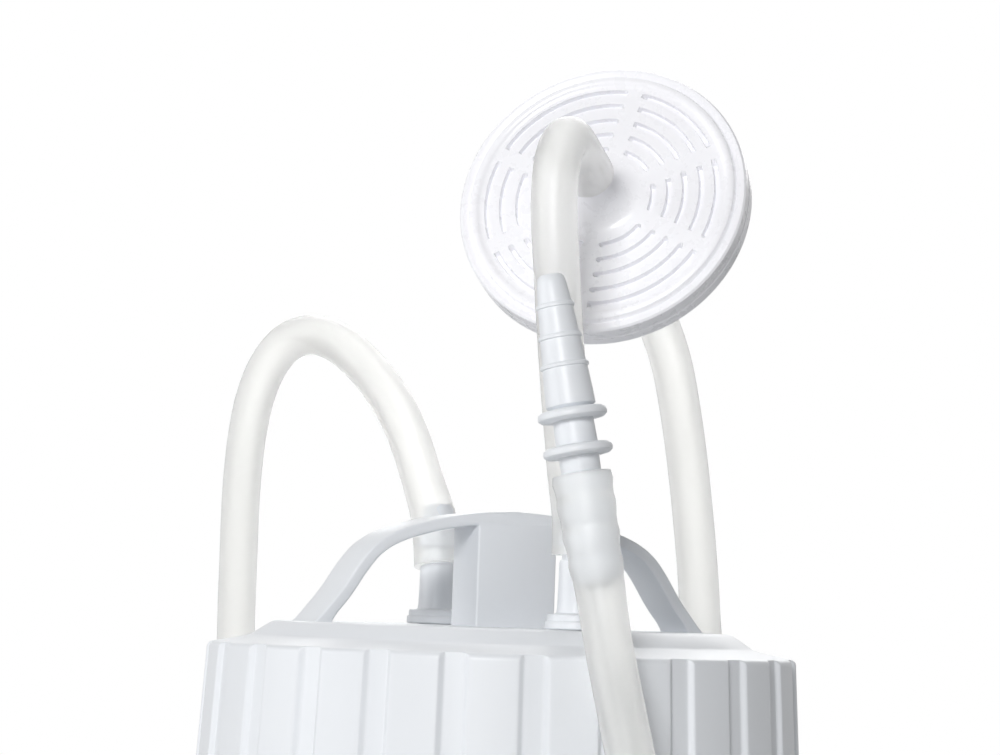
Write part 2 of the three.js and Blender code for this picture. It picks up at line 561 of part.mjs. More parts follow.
// ---- Cone connector on the free end ----
const connectorGroup = new THREE.Group();
const CONE_FOOT = new THREE.Vector3(-106.6, -74.1, 249.2);
const CONE_TIP = new THREE.Vector3(-112.5, -68.9, 289.6);
connectorGroup.position.copy(CONE_FOOT);
const coneAxis = CONE_TIP.clone().sub(CONE_FOOT).normalize();
connectorGroup.quaternion.setFromUnitVectors(new THREE.Vector3(0, 0, 1), coneAxis);
pump.add(connectorGroup);
part('cone_connector', turned([
  [1.7, 0], [4.1, 0], [4.1, 3], [7.3, 3.2], [7.3, 5], [4.1, 5.4], [4.1, 10.4], [7.3, 10.8], [7.3, 13], [4.7, 13.6],
  [4.2, 22], [3.8, 30], [3.2, 38], [2.8, 41.2], [1.7, 41.2], [1.7, 0],
]), WHITE, connectorGroup);

// ---- Clip under the lid that holds the patient hose upright ----
function hoseHolder() {
  const at = [-10, -86];
  const reach = Math.hypot(...at);
  const turn = Math.atan2(at[1], at[0]);
  const band = ring(62.9, 68, 175.5, 183.7, 32);
  const arm = block(66, reach - 6, -4, 4, 176, 182).rotateZ(turn);
  const loop = drum(8.2, 176, 182, 20).translate(...at, 0);
  const bore = drum(6.4, 170, 190, 20).translate(...at, 0);
  const mouth = block(reach, reach + 20, -4.4, 4.4, 170, 190).rotateZ(turn);
  return cut(join(band, arm, loop), bore, mouth);
}
part('hose_holder', hoseHolder(), WHITE, jarGroup);

export default pump;
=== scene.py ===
import math

import bmesh
import bpy
from mathutils import Matrix, Vector


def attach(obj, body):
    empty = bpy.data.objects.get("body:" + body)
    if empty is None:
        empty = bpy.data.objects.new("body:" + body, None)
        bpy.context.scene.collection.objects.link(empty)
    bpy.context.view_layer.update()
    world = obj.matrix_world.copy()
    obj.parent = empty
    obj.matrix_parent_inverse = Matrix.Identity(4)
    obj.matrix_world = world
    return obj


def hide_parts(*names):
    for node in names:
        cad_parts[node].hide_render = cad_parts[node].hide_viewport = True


bl_info = {
    "name": "Suction pump",
    "version": (1, 0, 0),
    "blender": (4, 5, 0),
    "location": "3D View > Sidebar > Suction pump",
    "description": "Builds a suction pump with its jar, lid, filter and silicone hoses",
    "category": "Object",
}

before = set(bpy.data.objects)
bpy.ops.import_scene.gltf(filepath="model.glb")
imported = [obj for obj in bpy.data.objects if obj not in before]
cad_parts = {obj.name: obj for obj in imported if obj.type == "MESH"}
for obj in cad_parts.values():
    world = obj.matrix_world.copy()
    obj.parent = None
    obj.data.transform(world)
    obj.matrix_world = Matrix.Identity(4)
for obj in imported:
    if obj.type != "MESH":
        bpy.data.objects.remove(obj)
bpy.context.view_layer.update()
MM = 0.001

SHARP = math.radians(38)
QUARTER = math.radians(90)

# ---- Where things stand, in millimetres ----
JAR_AT = (-92, -10)
PORT_OFFSET = 36
LID_TOP = 216
SKIRT_LOW, SKIRT_HIGH = 184, 210
SKIRT_R, SKIRT_TOP_R = 68, 66.5
FIRST_FLUTE_DEG = -34.6
PANEL_Y = -88
TRAY_PLAN, TRAY_LOW, TRAY_TOP = (330, 210, 24), 6, 26
PANEL_AT, PANEL_W, PANEL_H = (72, 98), 136, 100
GAUGE_AT, KNOB_AT, SWITCH_AT, LAMP_AT = (42, 108), (110, 112), (110, 68), (76, 64)
NIPPLE_AT = (-14, 24)
FILTER_AT = Vector((-75.2, -21.6, 312.6))
FILTER_NORMAL = Vector((-0.643, -0.693, 0.327)).normalized()
FILTER_HUB = 20
CONE_FOOT = Vector((-106.6, -74.1, 249.2))
CONE_AXIS = (Vector((-112.5, -68.9, 289.6)) - CONE_FOOT).normalized()
COIL_AT, COIL_R, COIL_TURNS = (-60, 182), 52, 1.75
CAMERA_AT = (-401, -638.1, 220)
CAMERA_TURN, CAMERA_TILT, CAMERA_ROLL = -26, 4.3, 1.9
CAMERA_LENS = 110.9

# The routes of the hoses' centre lines, the same as the CAD solids follow.
LID_HOSE = [
    (-92, -46, 232.1), (-92, -46, 236), (-92.8, -46.6, 241), (-95.5, -48.2, 250), (-99, -51, 265),
    (-102, -53.6, 280), (-104.2, -55, 295), (-104.9, -54.6, 307), (-103.8, -53.3, 316.1),
    (-100.6, -49.7, 320.9), (-97, -45.7, 322.6), (-93.5, -41.7, 321.9), (-89, -36.6, 319.6),
]
PUMP_HOSE = [
    (-53.2, 1.8, 300.6), (-43.4, 9.9, 290.8), (-36, 15.6, 281.4), (-31, 19.6, 271),
    (-27.6, 21.4, 259), (-25, 22.4, 246), (-22.8, 22.8, 231), (-21.4, 22.6, 216), (-19, 22.8, 201),
    (-15.4, 23.6, 190), (-14, 24, 183), (-14, 24, 177),
]
PATIENT_HOSE = [
    (-92, 25.2, 229.8), (-92, 26.3, 234.4), (-92.4, 28, 241), (-94, 31.6, 250), (-96, 38.7, 263),
    (-98, 48.4, 273), (-100, 58.3, 280), (-102, 68.2, 285), (-104.2, 80.6, 287.6),
    (-105.8, 92.5, 286), (-106.6, 102.8, 280.6), (-106.4, 111.6, 272.6), (-105.6, 117.9, 263.6),
    (-104.8, 122.2, 253.6), (-104, 125, 243.8), (-103.2, 127, 231.4), (-102.8, 128, 219),
    (-102.4, 128.6, 208), (-102, 129.4, 160), (-102, 130, 110), (-101.8, 130, 66), (-98.4, 130, 44),
    (-89, 130, 30.6), (-76, 130, 20.4), (-67, 130, 16.2),
]
HOSE_END = [
    (-112.4, 165, 5.2), (-112.6, 148.4, 5.2), (-117, 139, 5.2), (-127, 128, 5.2), (-142, 121, 5.2),
    (-158, 117.6, 5.2), (-172, 111, 5.2), (-182, 96, 5.2), (-185, 70, 5.2), (-183, 30, 5.2),
    (-181, -20, 5.2), (-181, -60, 5.2), (-178, -86, 5.2), (-167, -106, 5.2), (-150, -116, 6.4),
    (-132, -119, 12), (-117, -119, 24), (-107, -119, 42), (-102.4, -117.4, 66), (-101, -114.6, 96),
    (-100.6, -110, 126), (-101, -103.6, 154), (-102, -96, 180), (-102.6, -88, 199),
    (-102.7, -81.2, 213.5), (-103.1, -77.1, 225.7), (-104.9, -75.6, 237.4), (-106.5, -74.2, 248.4),
]


# ---- Sizes and colours that a user would change ----
def linear(hex_value):
    """An sRGB hex colour as the linear colour that shaders take."""
    channels = [(hex_value >> shift & 255) / 255 for shift in (16, 8, 0)]
    return tuple(
        c / 12.92 if c <= 0.04045 else ((c + 0.055) / 1.055) ** 2.4 for c in channels
    ) + (1.0,)


def length(name, description, millimetres):
    return bpy.props.FloatProperty(
        name=name, description=description, default=millimetres * MM, min=0, unit="LENGTH",
        subtype="DISTANCE"
    )


def colour(name, description, hex_value):
    return bpy.props.FloatVectorProperty(
        name=name, description=description, default=linear(hex_value), size=4, min=0, max=1,
        subtype="COLOR"
    )


class SuctionPumpSizes(bpy.types.PropertyGroup):
    flute_count: bpy.props.IntProperty(
        name="Flutes", description="Finger grips round the lid", default=25, min=3
    )
    flute_width: length("Flute width", "Width of each flute in the lid's skirt", 7.0)
    flute_depth: length("Flute depth", "Depth of each flute", 1.2)
    handle_width: length("Handle width", "Width of the lid's handle, front to back", 13.3)
    handle_thickness: length("Handle thickness", "Thickness of the handle's strap", 2.7)
    handle_block: length(
        "Handle block", "Width of the solid block in the middle of the handle", 19.7
    )
    hose_diameter: length("Hose diameter", "Outside diameter of the silicone hoses", 10)
    hose_bore: length("Hose bore", "Inside diameter of the silicone hoses", 6.4)
    patient_hose_length: length("Patient hose", "Length from the lid to the cone connector", 1602)
    lid_hose_length: length("Lid hose", "Length from the lid to the filter", 118)
    pump_hose_length: length("Pump hose", "Length from the filter to the pump", 157)
    slot_width: length("Slot width", "Width of the filter's ring-shaped slots", 1.35)
    slot_depth: length("Slot depth", "Depth of the filter's ring-shaped slots", 1.3)


class SuctionPumpColours(bpy.types.PropertyGroup):
    lid: colour("Lid", "Moulded polypropylene of the lid, handle and ports", 0xE9ECF0)
    housing: colour("Housing", "Moulded ABS of the housing and tray", 0xE4E6E8)
    panel: colour("Panel", "Moulded ABS of the panel, knob and handle", 0x2E3236)
    hose: colour("Hose", "Silicone of the hoses", 0xFEFEFD)
    filter: colour("Filter", "Clear styrene of the filter's shells", 0xFAFAFE)
    jar: colour("Jar", "Clear polycarbonate of the jar", 0xFAFCFC)
    rubber: colour("Rubber", "Rubber of the feet, mounts and seals", 0x2C2E30)
    needle: colour("Needle", "Lacquer of the gauge's needle", 0xB02A30)
    lamp: colour("Lamp", "Green of the lamp and rocker", 0x2E9E4E)
    float_cup: colour("Float", "Polyethylene of the float", 0xE07A2C)
    ink: colour("Ink", "Printed marks", 0x1C1F24)
    floor: colour("Floor", "The floor", 0xF2F2F2)


def sizes():
    return bpy.context.scene.suction_pump_sizes


def colours():
    return bpy.context.scene.suction_pump_colours


# ---- Materials ----
def add_node(tree, kind, settings=None, links=None):
    """Adds a node with its properties, socket values and links from other nodes' outputs."""
    node = tree.nodes.new(kind)
    for key, value in (settings or {}).items():
        if isinstance(key, str) and hasattr(node, key):
            setattr(node, key, value)
        else:
            node.inputs[key].default_value = value
    for key, source in (links or {}).items():
        tree.links.new(source, node.inputs[key])
    return node


def shaded(base, share):
    """A colour darkened by a share."""
    return tuple(c * (1 - share) for c in base[:3]) + (1.0,)


def finish_of(
    name, base, rough, cloud_mm, cloud_share, grain_mm, grain_depth_mm, stretch=(1, 1, 1),
    clear=0.0, **sockets
):
    """A surface whose colour and roughness drift in clouds, over a fine grain.

    clear is the share of the light that each surface lets straight through.
    """
    material = bpy.data.materials.new(name)
    material.use_nodes = True
    tree = material.node_tree
    tree.nodes.clear()
    base = tuple(base)
    where = add_node(tree, "ShaderNodeTexCoord").outputs["Object"]
    along = add_node(
        tree, "ShaderNodeMapping", {"Scale": stretch}, {"Vector": where}
    ).outputs["Vector"]
    cloud = add_node(
        tree, "ShaderNodeTexNoise", {"Scale": 1 / (cloud_mm * MM), "Detail": 3.0, "Roughness": 0.5},
        {"Vector": where}
    ).outputs["Fac"]
    grain = add_node(
        tree, "ShaderNodeTexNoise", {"Scale": 1 / (grain_mm * MM), "Detail": 4.0, "Roughness": 0.6},
        {"Vector": along}
    ).outputs["Fac"]
    tint = add_node(
        tree, "ShaderNodeMix", {"data_type": "RGBA", 6: base, 7: shaded(base, cloud_share)},
        {0: cloud}
    ).outputs[2]
    sheen = add_node(
        tree, "ShaderNodeMapRange",
        {"From Min": 0.3, "From Max": 0.7, "To Min": rough[0], "To Max": rough[1]},
        {"Value": grain},
    ).outputs["Result"]
    relief = add_node(
        tree, "ShaderNodeBump", {"Strength": 1.0, "Distance": grain_depth_mm * MM},
        {"Height": grain}
    ).outputs["Normal"]
    shader = add_node(
        tree, "ShaderNodeBsdfPrincipled", sockets,
        {"Base Color": tint, "Roughness": sheen, "Normal": relief}
    ).outputs["BSDF"]
    if clear:
        through = add_node(tree, "ShaderNodeBsdfTransparent", {"Color": base}).outputs["BSDF"]
        shader = add_node(
            tree, "ShaderNodeMixShader", {"Fac": clear}, {1: shader, 2: through}
        ).outputs["Shader"]
    add_node(tree, "ShaderNodeOutputMaterial", links={"Surface": shader})
    return material


# Injection-moulded polypropylene: waxy, softly lit white with a satin gloss and hardly any texture.
def moulded_polypropylene(name):
    return finish_of(name, colours().lid, (0.34, 0.42), 18, 0.02, 0.7, 0.006, IOR=1.49)


# Moulded ABS from a spark-eroded tool: a fine even grain that breaks up the highlights.
def moulded_abs(name):
    return finish_of(name, colours().housing, (0.42, 0.52), 40, 0.03, 0.55, 0.03, IOR=1.53)


# The same ABS coloured charcoal, with a coarser grain that reads as matt.
def charcoal_abs(name):
    return finish_of(name, colours().panel, (0.5, 0.64), 30, 0.18, 0.6, 0.05, IOR=1.53)


# Extruded platinum-cured silicone: milky, half see-through, with a soft skin gloss.
def extruded_silicone(name):
    return finish_of(
        name, colours().hose, (0.38, 0.44), 12, 0.008, 1.4, 0.002, clear=0.14,
        **{"IOR": 1.41, "Transmission Weight": 0.88, "Specular IOR Level": 0.35},
    )


# Moulded clear styrene of the filter: frosted by the tool, slightly cool, glossy on its edges.
def clear_styrene(name):
    return finish_of(
        name, colours().filter, (0.26, 0.3), 9, 0.01, 3.0, 0.002, IOR=1.55,
    )


# Blow-moulded polycarbonate of the jar: clear and glossy, with slow waves in the wall.
def blown_polycarbonate(name):
    return finish_of(
        name, colours().jar, (0.05, 0.1), 60, 0.02, 24, 0.12, clear=0.84,
        **{"IOR": 1.58, "Transmission Weight": 0.9}
    )


# Float glass of the gauge: clear, hard and even.
def float_glass(name):
    return finish_of(
        name, linear(0xF6FAF8), (0.02, 0.05), 30, 0.01, 8, 0.004, clear=0.85,
        **{"IOR": 1.52, "Transmission Weight": 1.0}
    )


# Nitrile rubber, moulded: dark, dull and slightly dusty.
def moulded_rubber(name):
    return finish_of(name, colours().rubber, (0.72, 0.86), 10, 0.25, 0.5, 0.05, IOR=1.52)


# Turned and polished stainless steel: bright, with fine rings left by the tool.
def polished_steel(name):
    return finish_of(name, linear(0xC9CCCF), (0.16, 0.3), 14, 0.06, 0.35, 0.004, Metallic=1.0)


# Zinc-plated pressed steel: dull silver with cloudy spangle.
def plated_steel(name):
    return finish_of(name, linear(0xA9ADB0), (0.34, 0.5), 6, 0.16, 0.8, 0.01, Metallic=1.0)


# Die-cast aluminium: pale grey and granular.
def cast_aluminium(name):
    return finish_of(name, linear(0xB4B6B8), (0.45, 0.62), 12, 0.12, 0.9, 0.06, Metallic=1.0)


# Turned brass: warm yellow with fine tool rings.
def turned_brass(name):
    return finish_of(
        name, linear(0xC8A35B), (0.22, 0.36), 9, 0.1, 0.4, 0.006, (1, 1, 5), Metallic=1.0
    )


# Stretched fluoropolymer membrane: chalk white, matt and fibrous, with light coming through it.
def fibre_paper(name):
    return finish_of(
        name, linear(0xFCFCFA), (0.85, 0.95), 2.5, 0.03, 0.45, 0.02, (1, 3, 1), clear=0.5, IOR=1.4
    )


# Enamelled dial plate: clean white with a slight gloss.
def enamel_white(name):
    return finish_of(name, linear(0xF4F4F0), (0.3, 0.38), 20, 0.02, 0.8, 0.004, IOR=1.5)


# Red lacquer on the pressed needle.
def red_lacquer(name):
    return finish_of(name, colours().needle, (0.25, 0.35), 8, 0.08, 0.5, 0.004, IOR=1.5)


# Moulded green polycarbonate: saturated, glossy, a little clear.
def green_polycarbonate(name):
    return finish_of(
        name, colours().lamp, (0.14, 0.22), 6, 0.12, 0.6, 0.006,
        **{
            "IOR": 1.58, "Transmission Weight": 0.25, "Emission Color": colours().lamp,
            "Emission Strength": 0.12
        },
    )


# Blow-moulded polyethylene of the float: waxy orange.
def moulded_polyethylene(name):
    return finish_of(name, colours().float_cup, (0.4, 0.5), 10, 0.06, 0.7, 0.01, IOR=1.51)


# Pad-printed ink: flat and nearly black.
def printed_ink(name):
    return finish_of(name, colours().ink, (0.5, 0.6), 5, 0.1, 0.4, 0.003, IOR=1.5)


# Smooth matt card under the object.
def matt_card(name):
    return finish_of(name, colours().floor, (0.7, 0.8), 200, 0.01, 2, 0.01, IOR=1.45)


def material(maker):
    return bpy.data.materials.get(maker.__name__) or maker(maker.__name__)


# ---- Shapes as lists of points, in millimetres, and faces ----
def lathe(profile, segments=96, warp=None, angles=None):
    """A shape turned about Z from (radius, height) points, closed on itself or on the axis."""
    angles = angles or [math.tau * i / segments for i in range(segments)]
    segments = len(angles)
    verts, faces, rows = [], [], []
    for r, z in profile:
        if r < 1e-6:
            rows.append([len(verts)] * segments)
            verts.append((0, 0, z))
        else:
            rows.append(list(range(len(verts), len(verts) + segments)))
            for a in angles:
                radius, height = warp(r, z, a) if warp else (r, z)
                verts.append((radius * math.cos(a), radius * math.sin(a), height))
    pairs = list(zip(rows, rows[1:]))
    if profile[0][0] > 1e-6 and profile[-1][0] > 1e-6:
        pairs.append((rows[-1], rows[0]))
    for low, high in pairs:
        for i in range(segments):
            j = (i + 1) % segments
            corners = [low[i], low[j], high[j], high[i]]
            face = [v for k, v in enumerate(corners) if v != corners[k - 1]]
            if len(face) > 2:
                faces.append(face)
    return verts, faces


def box(x0, x1, y0, y1, z0, z1):
    verts = [(x, y, z) for z in (z0, z1) for y in (y0, y1) for x in (x0, x1)]
    return verts, [
        (0, 2, 3, 1), (4, 5, 7, 6), (0, 1, 5, 4), (2, 6, 7, 3), (0, 4, 6, 2), (1, 3, 7, 5)
    ]


def drum(radius, z0, z1, segments=96):
    return lathe([(0, z0), (radius, z0), (radius, z1), (0, z1)], segments)


def moved(shape, matrix):
    """The shape moved by a matrix whose distances are in millimetres."""
    return [tuple(matrix @ Vector(v)) for v in shape[0]], shape[1]


def shifted(shape, x=0, y=0, z=0):
    return moved(shape, Matrix.Translation((x, y, z)))


def joined(*shapes):
    verts, faces = [], []
    for some_verts, some_faces in shapes:
        faces += [[i + len(verts) for i in face] for face in some_faces]
        verts += some_verts
    return verts, faces


def rounded_outline(width, height, radius, steps=10):
    points = []
    for quarter, (sx, sy) in enumerate(((1, 1), (-1, 1), (-1, -1), (1, -1))):
        for i in range(steps + 1):
            a = math.pi / 2 * (quarter + i / steps)
            points.append((
                sx * (width / 2 - radius) + radius * math.cos(a),
                sy * (height / 2 - radius) + radius * math.sin(a),
            ))
    return points


def circle_outline(x, y, radius, steps=64):
    turn = math.tau / steps
    return [
        (x + radius * math.cos(i * turn), y + radius * math.sin(i * turn)) for i in range(steps)
    ]


def plain_mesh(shape):
    mesh = bpy.data.meshes.new("shape")
    mesh.from_pydata([Vector(v) * MM for v in shape[0]], [], shape[1])
    bm = bmesh.new()
    bm.from_mesh(mesh)
    bmesh.ops.remove_doubles(bm, verts=bm.verts, dist=1e-6)
    bmesh.ops.recalc_face_normals(bm, faces=bm.faces)
    bm.to_mesh(mesh)
    bm.free()
    return mesh


def shape_of(mesh):
    return [tuple(v.co / MM) for v in mesh.vertices], [tuple(p.vertices) for p in mesh.polygons]


def sheet(outlines, z0, z1, rim=0.0):
    """A flat piece from z0 to z1 with edges rounded by rim: its outline, then its holes."""
    data = bpy.data.curves.new("sheet", "CURVE")
    data.dimensions, data.fill_mode = "2D", "BOTH"
    data.extrude, data.bevel_depth, data.offset = ((z1 - z0) / 2 - rim) * MM, rim * MM, -rim * MM
    data.bevel_resolution = 2
    for outline in outlines:
        spline = data.splines.new("POLY")
        spline.points.add(len(outline) - 1)
        spline.use_cyclic_u = True
        for point, (x, y) in zip(spline.points, outline):
            point.co = (x * MM, y * MM, 0, 1)
    flat = bpy.data.objects.new("sheet", data)
    mesh = bpy.data.meshes.new_from_object(flat)
    shape = shape_of(mesh)
    bpy.data.meshes.remove(mesh)
    bpy.data.curves.remove(data)
    return shifted(shape, 0, 0, (z0 + z1) / 2)


def carved(shape, *cutters, add=()):
    """The shape with the added shapes joined to it and the cutters taken away."""
    scene = bpy.context.scene.collection
    base = bpy.data.objects.new("carved", plain_mesh(shape))
    tools = [(cutter, "DIFFERENCE") for cutter in cutters]
    tools = [(extra, "UNION") for extra in add] + tools
    made = [base]
    for tool, operation in tools:
        made.append(bpy.data.objects.new("tool", plain_mesh(tool)))
        modifier = base.modifiers.new(operation, "BOOLEAN")
        modifier.operation, modifier.object, modifier.solver = operation, made[-1], "EXACT"
    for one in made:
        scene.objects.link(one)
    mesh = bpy.data.meshes.new_from_object(
        base.evaluated_get(bpy.context.evaluated_depsgraph_get())
    )
    result = shape_of(mesh)
    for one in made:
        old = one.data
        bpy.data.objects.remove(one)
        bpy.data.meshes.remove(old)
    bpy.data.meshes.remove(mesh)
    return result


def lettering(text, size, x, y):
    """Flat printed characters, centred on x and y."""
    data = bpy.data.curves.new("text", "FONT")
    data.body, data.size, data.align_x, data.align_y = text, size * MM, "CENTER", "CENTER"
    mesh = bpy.data.meshes.new_from_object(bpy.data.objects.new("text", data))
    shape = shape_of(mesh)
    bpy.data.meshes.remove(mesh)
    bpy.data.curves.remove(data)
    return shifted(shape, x, y)


def piece(name, shape, body, maker, matrix=None, replaces=(), soften=0.0, smooth=True):
    """Makes a shape into a piece that rides on a body, with its finish and softened edges."""
    if matrix is not None:
        shape = moved(shape, matrix)
    mesh = plain_mesh(shape)
    mesh.name = name
    mesh.polygons.foreach_set("use_smooth", [smooth] * len(mesh.polygons))
    mesh.set_sharp_from_angle(angle=SHARP)
    mesh.materials.append(material(maker))
    made = bpy.data.objects.new(name, mesh)
    bpy.context.scene.collection.objects.link(made)
    if soften:
        bevel = made.modifiers.new("Softened edges", "BEVEL")
        bevel.width, bevel.segments, bevel.limit_method = soften * MM, 2, "ANGLE"
        bevel.angle_limit, bevel.harden_normals = SHARP, True
    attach(made, body)
    if replaces:
        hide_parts(*replaces)
    return made


def finish_node(maker, *names):
    """Gives CAD nodes whose shape is right a finish of their own."""
    for name in names:
        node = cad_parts[name]
        node.data.materials.clear()
        node.data.materials.append(material(maker))
        for slot in node.material_slots:
            slot.material = material(maker)


def facing_front(x, z):
    return Matrix.Translation((x, PANEL_Y, z)) @ Matrix.Rotation(QUARTER, 4, "X")


def over_jar(x=0, y=0):
    return Matrix.Translation((JAR_AT[0] + x, JAR_AT[1] + y, 0))


def pointing(at, axis):
    """A matrix whose Z follows axis and whose X stays level."""
    side = Vector((0, 0, 1)).cross(axis).normalized()
    turn = Matrix((side, axis.cross(side), axis)).transposed().to_4x4()
    return Matrix.Translation(at) @ turn


# ---- Hoses ----
def smooth_path(points, step):
    """A curve through the points, returned as points about step millimetres apart."""
    points = [Vector(p) for p in points]
    ends = [2 * points[0] - points[1], *points, 2 * points[-1] - points[-2]]
    path = [points[0]]
    for p0, p1, p2, p3 in zip(ends, ends[1:], ends[2:], ends[3:]):
        span = (p2 - p1).length
        before = (p1 - p0) / max((p1 - p0).length, 1e-6)
        here = (p2 - p1) / max(span, 1e-6)
        after = (p3 - p2) / max((p3 - p2).length, 1e-6)
        leave, arrive = (before + here).normalized() * span, (here + after).normalized() * span
        count = max(2, round(span / step))
        for i in range(1, count + 1):
            t = i / count
            path.append(
                p1 * (2 * t**3 - 3 * t**2 + 1) + leave * (t**3 - 2 * t**2 + t)
                + p2 * (3 * t**2 - 2 * t**3) + arrive * (t**3 - t**2)
            )
    return path


def hose(name, points, flares, bulges=(), step=2.2, sides=40, **cord):
    """A silicone hose with a real bore along a path.

    flares widen it at an end: whether it's the start, how far it reaches, extra radius.
    bulges are the distances from its far end at which it stretches over a barb.
    """
    path = smooth_path(points, step)
    gone = [0.0]
    for a, b in zip(path, path[1:]):
        gone.append(gone[-1] + (b - a).length)
    outer, bore = sizes().hose_diameter / MM / 2, sizes().hose_bore / MM / 2
    side = (path[1] - path[0]).orthogonal().normalized()
    frames = []
    for i, at in enumerate(path):
        along = (path[min(i + 1, len(path) - 1)] - path[max(i - 1, 0)]).normalized()
        side = (side - along * side.dot(along)).normalized()
        frames.append((at, side, along.cross(side)))

    def extra(i):
        widen = 0.0
        for from_start, reach, amount in flares:
            distance = gone[i] if from_start else gone[-1] - gone[i]
            share = min(1.0, distance / reach)
            widen = max(widen, amount * (1 - share * share * (3 - 2 * share)))
        return widen + sum(
            0.35 * math.exp(-(((gone[-1] - gone[i] - at) / 1.3) ** 2)) for at in bulges
        )

    count = len(path)
    rows = [(0, outer + extra(0) - 0.3), *[(i, outer + extra(i)) for i in range(count)]]
    rows += [
        (count - 1, outer + extra(count - 1) - 0.3), (count - 1, bore + extra(count - 1) + 0.3)
    ]
    rows += [(i, bore + extra(i)) for i in reversed(range(count))]
    rows.append((0, bore + extra(0) + 0.3))
    verts, faces = [], []
    for i, radius in rows:
        at, right, up = frames[i]
        for k in range(sides):
            a = math.tau * k / sides
            verts.append(tuple(at + (right * math.cos(a) + up * math.sin(a)) * radius))
    for row in range(len(rows)):
        after = (row + 1) % len(rows)
        for k in range(sides):
            j = (k + 1) % sides
            faces.append((row * sides + k, row * sides + j, after * sides + j, after * sides + k))
    replaces = cord.pop("replaces")
    made = piece(name, (verts, faces), "lid_set", extruded_silicone, replaces=replaces)
    return made


class SUCTION_OT_camera(bpy.types.Operator):
    """Camera in front of the lid, level with its top and looking slightly up"""

    bl_idname = "suction_pump.camera"
    bl_label = "Camera"

    def execute(self, context):
        data = bpy.data.cameras.new("Camera")
        data.lens, data.sensor_width = CAMERA_LENS, 36
        camera = bpy.data.objects.new("Camera", data)
        camera.matrix_world = (
            Matrix.Translation(Vector(CAMERA_AT) * MM)
            @ Matrix.Rotation(math.radians(CAMERA_TURN), 4, "Z")
            @ Matrix.Rotation(math.radians(90 + CAMERA_TILT), 4, "X")
            @ Matrix.Rotation(math.radians(CAMERA_ROLL), 4, "Z")
        )
        context.scene.collection.objects.link(camera)
        context.scene.camera = camera
        return {"FINISHED"}


class SUCTION_OT_connector(bpy.types.Operator):
    """Stepped cone connector with its two collars and a barbed tail"""

    bl_idname = "suction_pump.connector"
    bl_label = "Cone connector"

    def execute(self, context):
        barbs = []
        for low, high, r in (
            (-22.6, -18.9, 3.7), (-18.6, -12.7, 3.8), (-12.4, -6.6, 3.9), (-6.3, -0.7, 4.0)
        ):
            barbs += [(r, low), (r + 0.75, high - 0.2), (r + 0.7, high)]
        collars = []
        for low in (2.9, 10.5):
            collars += [
                (4.25, low), (6.6, low + 0.1), (7.2, low + 0.6), (7.3, low + 1.2), (7.1, low + 1.8),
                (6.5, low + 2.2), (4.4, low + 2.5),
            ]
        profile = [
            (1.7, -24.3), (2.6, -24.3), (3.2, -23.9), *barbs, (4.15, -0.4), *collars, (5.2, 13.6),
            (5.1, 16), (4.75, 21.4), (5.1, 21.6), (5.12, 22.1), (4.9, 22.4), (4.6, 22.5),
            (4.25, 27.5), (4.6, 27.7), (4.6, 28.2), (4.4, 28.5), (4.1, 28.6), (3.75, 34.1),
            (4.05, 34.3), (4.05, 34.8), (3.85, 35.1), (3.6, 35.2), (3.1, 39.4), (2.8, 40.7),
            (2.3, 41.2), (1.7, 41.2),
        ]
        piece(
            "connector", lathe(profile, 96), "lid_set", moulded_polypropylene,
            pointing(CONE_FOOT, CONE_AXIS), ("cone_connector",),
        )
        return {"FINISHED"}


class SUCTION_OT_hoses(bpy.types.Operator):
    """Patient hose with its stored coil, and the two short hoses of the filter"""

    bl_idname = "suction_pump.hoses"
    bl_label = "Hoses"

    def execute(self, context):
        size = sizes()
        coil = []
        steps = round(24 * COIL_TURNS)
        for i in range(steps + 1):
            turn = i / steps * COIL_TURNS
            fall = min(1.0, max(0.0, (turn - 0.75) / 0.25))
            a = math.tau * turn - math.pi / 2
            coil.append((
                COIL_AT[0] + COIL_R * math.cos(a), COIL_AT[1] + COIL_R * math.sin(a),
                15.2 - 10 * fall * fall * (3 - 2 * fall),
            ))
        hose(
            "patient_hose_tube", [*PATIENT_HOSE, *coil, *HOSE_END],
            [(True, 24, 0.8), (False, 34, 1.0)], (1.6, 7, 13, 19.2), 1.5,
            length=size.patient_hose_length, far_end="connector", stiffness="medium", lay="coiled",
            with_pieces=[bpy.data.objects["connector"]],
            replaces=("patient_hose", "patient_hose_coil", "patient_hose_end"),
        )
        on_hub = [FILTER_AT + FILTER_NORMAL * along for along in (19, 17, 14.8)]
        hose(
            "lid_hose_tube", [*LID_HOSE, *on_hub], [(True, 26, 0.8), (False, 16, 0.6)], step=1.4,
            length=size.lid_hose_length, far_end="object", stiffness="medium", lay="taut",
            replaces=("filter_hose_lid",),
        )
        off_hub = [FILTER_AT - FILTER_NORMAL * along for along in (14.8, 17, 20, 26)]
        hose(
            "pump_hose_tube", [*off_hub, *PUMP_HOSE], [(True, 16, 0.6), (False, 14, 0.6)], step=1.4,
            length=size.pump_hose_length, far_end="object", stiffness="medium", lay="taut",
            replaces=("filter_hose_pump",),
        )
        return {"FINISHED"}


